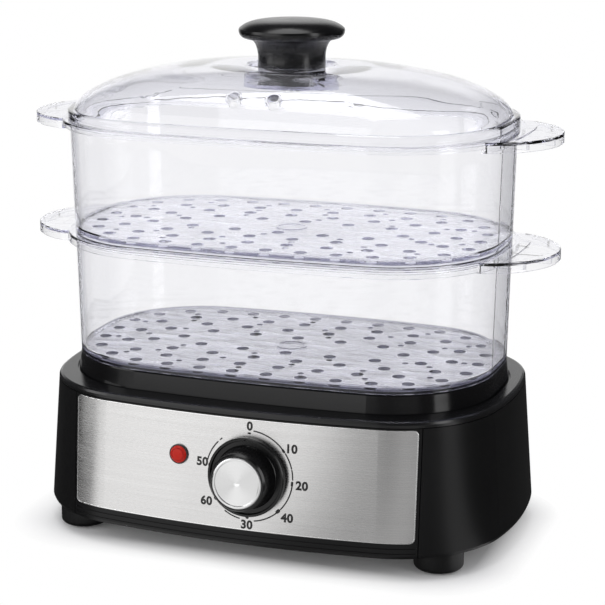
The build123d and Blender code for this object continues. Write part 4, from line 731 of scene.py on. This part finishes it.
def floor_white():
    """Matt white floor that the camera and clear plastic see as white around its shadow."""
    g = material("floor_white")
    at = g.place()
    outside = g.vector("SUBTRACT", g.vector("ABSOLUTE", at), SHADOW_CORE)
    spot = g.vector("LENGTH", g.vector("MAXIMUM", outside, (0.0, 0.0, 0.0)))
    lit = g.add("ShaderNodeBsdfDiffuse", {"Color": rgb(0.90, 0.90, 0.90)}).outputs[0]
    near = g.add("ShaderNodeAddShader", {0: lit, 1: g.emission(NEAR_GLOW)}).outputs[0]
    seen = g.either(g.remap(spot, *SHADOW_FADE), near, g.emission(1.0))
    x, y, _ = g.split(at)
    turn = g.calc("DEGREES", g.calc("ARCTAN2", x, g.calc("MULTIPLY", y, -1.0)))
    sheet = g.ramp(turn, -180.0, 180.0, FLOOR_SHEETS)
    mirrored = g.either(sheet, g.emission(DIM_GLOW), seen)
    path = g.add("ShaderNodeLightPath").outputs
    shown = g.calc("MAXIMUM", path["Is Camera Ray"], path["Is Transmission Ray"])
    struck = g.either(path["Is Glossy Ray"], lit, mirrored)
    g.show(g.either(shown, struck, seen))
    return g.mat


bm = bmesh.new()
bmesh.ops.create_grid(bm, x_segments=8, y_segments=8, size=FLOOR_HALF)
floor_mesh = bpy.data.meshes.new("floor")
bm.to_mesh(floor_mesh)
bm.free()
floor = bpy.data.objects.new("floor", floor_mesh)
scene.collection.objects.link(floor)
floor_mesh.materials.append(floor_white())


# ---------------------------------------------------------------- lights and world
def around(azimuth, distance, height):
    a = math.radians(azimuth)
    return Vector((distance * math.sin(a), -distance * math.cos(a), height))


def softbox(name, place, aim_z, width, height, radiance):
    """Rectangular lamp that faces the middle of the part at a height."""
    lamp = bpy.data.lights.new(name, "AREA")
    lamp.shape = "RECTANGLE"
    lamp.size, lamp.size_y = width, height
    lamp.energy = radiance * math.pi * width * height
    holder = bpy.data.objects.new(name, lamp)
    scene.collection.objects.link(holder)
    holder.location = place
    holder.rotation_euler = (Vector((0, 0, aim_z)) - place).to_track_quat("-Z", "Y").to_euler()


softbox("front", around(-24.0, 1.6, 0.60), 0.15, 1.16, 1.2, 1.35)
softbox("left", around(-60.0, 1.5, 0.60), 0.15, 0.62, 1.3, 2.4)
softbox("right", around(71.0, 1.5, 0.50), 0.15, 0.42, 1.3, 3.4)
softbox("overhead", Vector((-0.2, 0.1, 1.8)), 0.1, 1.2, 1.0, 3.0)

BACKDROP_AZIMUTH = 204.0            # behind the part, as the photo's camera sees it
BACKDROP_HALF = (28.0, 15.0)        # degrees to its sides at which it is gone, and full
BACKDROP_TOP = (0.26, 0.46)         # sines of the heights at which it is full, and gone


def studio(tree):
    """A pale room for the light, its backdrop alone for mirrors, and white for the camera.
    Clear plastic bends some rays up to the dim upper part of what it sees."""
    g = Graph(tree, "ShaderNodeOutputWorld")
    way = g.add("ShaderNodeTexCoord").outputs["Generated"]
    height = g.split(g.vector("NORMALIZE", way))[2]
    pale = g.blend(g.remap(height, -0.1, 0.9), rgb(0.52, 0.52, 0.53), rgb(0.62, 0.62, 0.64))
    room = g.background(pale, 0.85)

    level_way = g.vector("NORMALIZE", g.vector("MULTIPLY", way, (1.0, 1.0, 0.0)))
    heading = g.vector("DOT_PRODUCT", level_way, around(BACKDROP_AZIMUTH, 1.0, 0.0))
    gone, full = (math.cos(math.radians(turn)) for turn in BACKDROP_HALF)
    backdrop = g.remap(heading, gone, full, kind="SMOOTHSTEP")
    low = g.remap(height, *BACKDROP_TOP, 1.0, 0.0, "SMOOTHSTEP")
    gloom = g.blend(g.remap(height, 0.0, 0.7), rgb(0.10, 0.10, 0.105), rgb(0.05, 0.05, 0.055))
    mirror = g.background(g.blend(g.calc("MULTIPLY", backdrop, low), gloom, WHITE))

    high = g.remap(height, 0.40, 0.75, kind="SMOOTHSTEP")
    behind = g.background(g.blend(high, WHITE, rgb(0.36, 0.37, 0.50)))

    path = g.add("ShaderNodeLightPath").outputs
    shown = g.either(path["Is Glossy Ray"], room, mirror)
    shown = g.either(path["Is Transmission Ray"], shown, behind)
    g.show(g.either(path["Is Camera Ray"], shown, g.background(WHITE)))


world = bpy.data.worlds.new("studio")
scene.world = world
world.use_nodes = True
studio(world.node_tree)

# ---------------------------------------------------------------- camera
AZIMUTH, ELEVATION, DISTANCE = 20.0, 14.10, 1.100
LENS, SENSOR = 118.68, 36.0
TARGET_RIGHT, TARGET_UP = 0.00569, 0.12133      # metres from part.py's own origin
az, el = math.radians(AZIMUTH), math.radians(ELEVATION)
right = Vector((math.cos(az), math.sin(az), 0))
back = Vector((math.sin(az) * math.cos(el), -math.cos(az) * math.cos(el), math.sin(el)))
target = right * TARGET_RIGHT + Vector((0, SHIFT_Y * MM, TARGET_UP))
lens = bpy.data.cameras.new("camera")
lens.lens, lens.sensor_width, lens.sensor_fit = LENS, SENSOR, "HORIZONTAL"
lens.clip_start, lens.clip_end = 0.05, 60.0
camera = bpy.data.objects.new("camera", lens)
scene.collection.objects.link(camera)
camera.location = target + back * DISTANCE
camera.rotation_euler = (-back).to_track_quat("-Z", "Y").to_euler()
scene.camera = camera

scene.view_settings.view_transform = "Standard"
CLEAR_BOUNCES, GLOSSY_BOUNCES = 32, 8           # many clear walls stand behind each other
scene.cycles.max_bounces = CLEAR_BOUNCES
scene.cycles.transmission_bounces = CLEAR_BOUNCES
scene.cycles.transparent_max_bounces = CLEAR_BOUNCES
scene.cycles.glossy_bounces = GLOSSY_BOUNCES

bpy.context.view_layer.update()
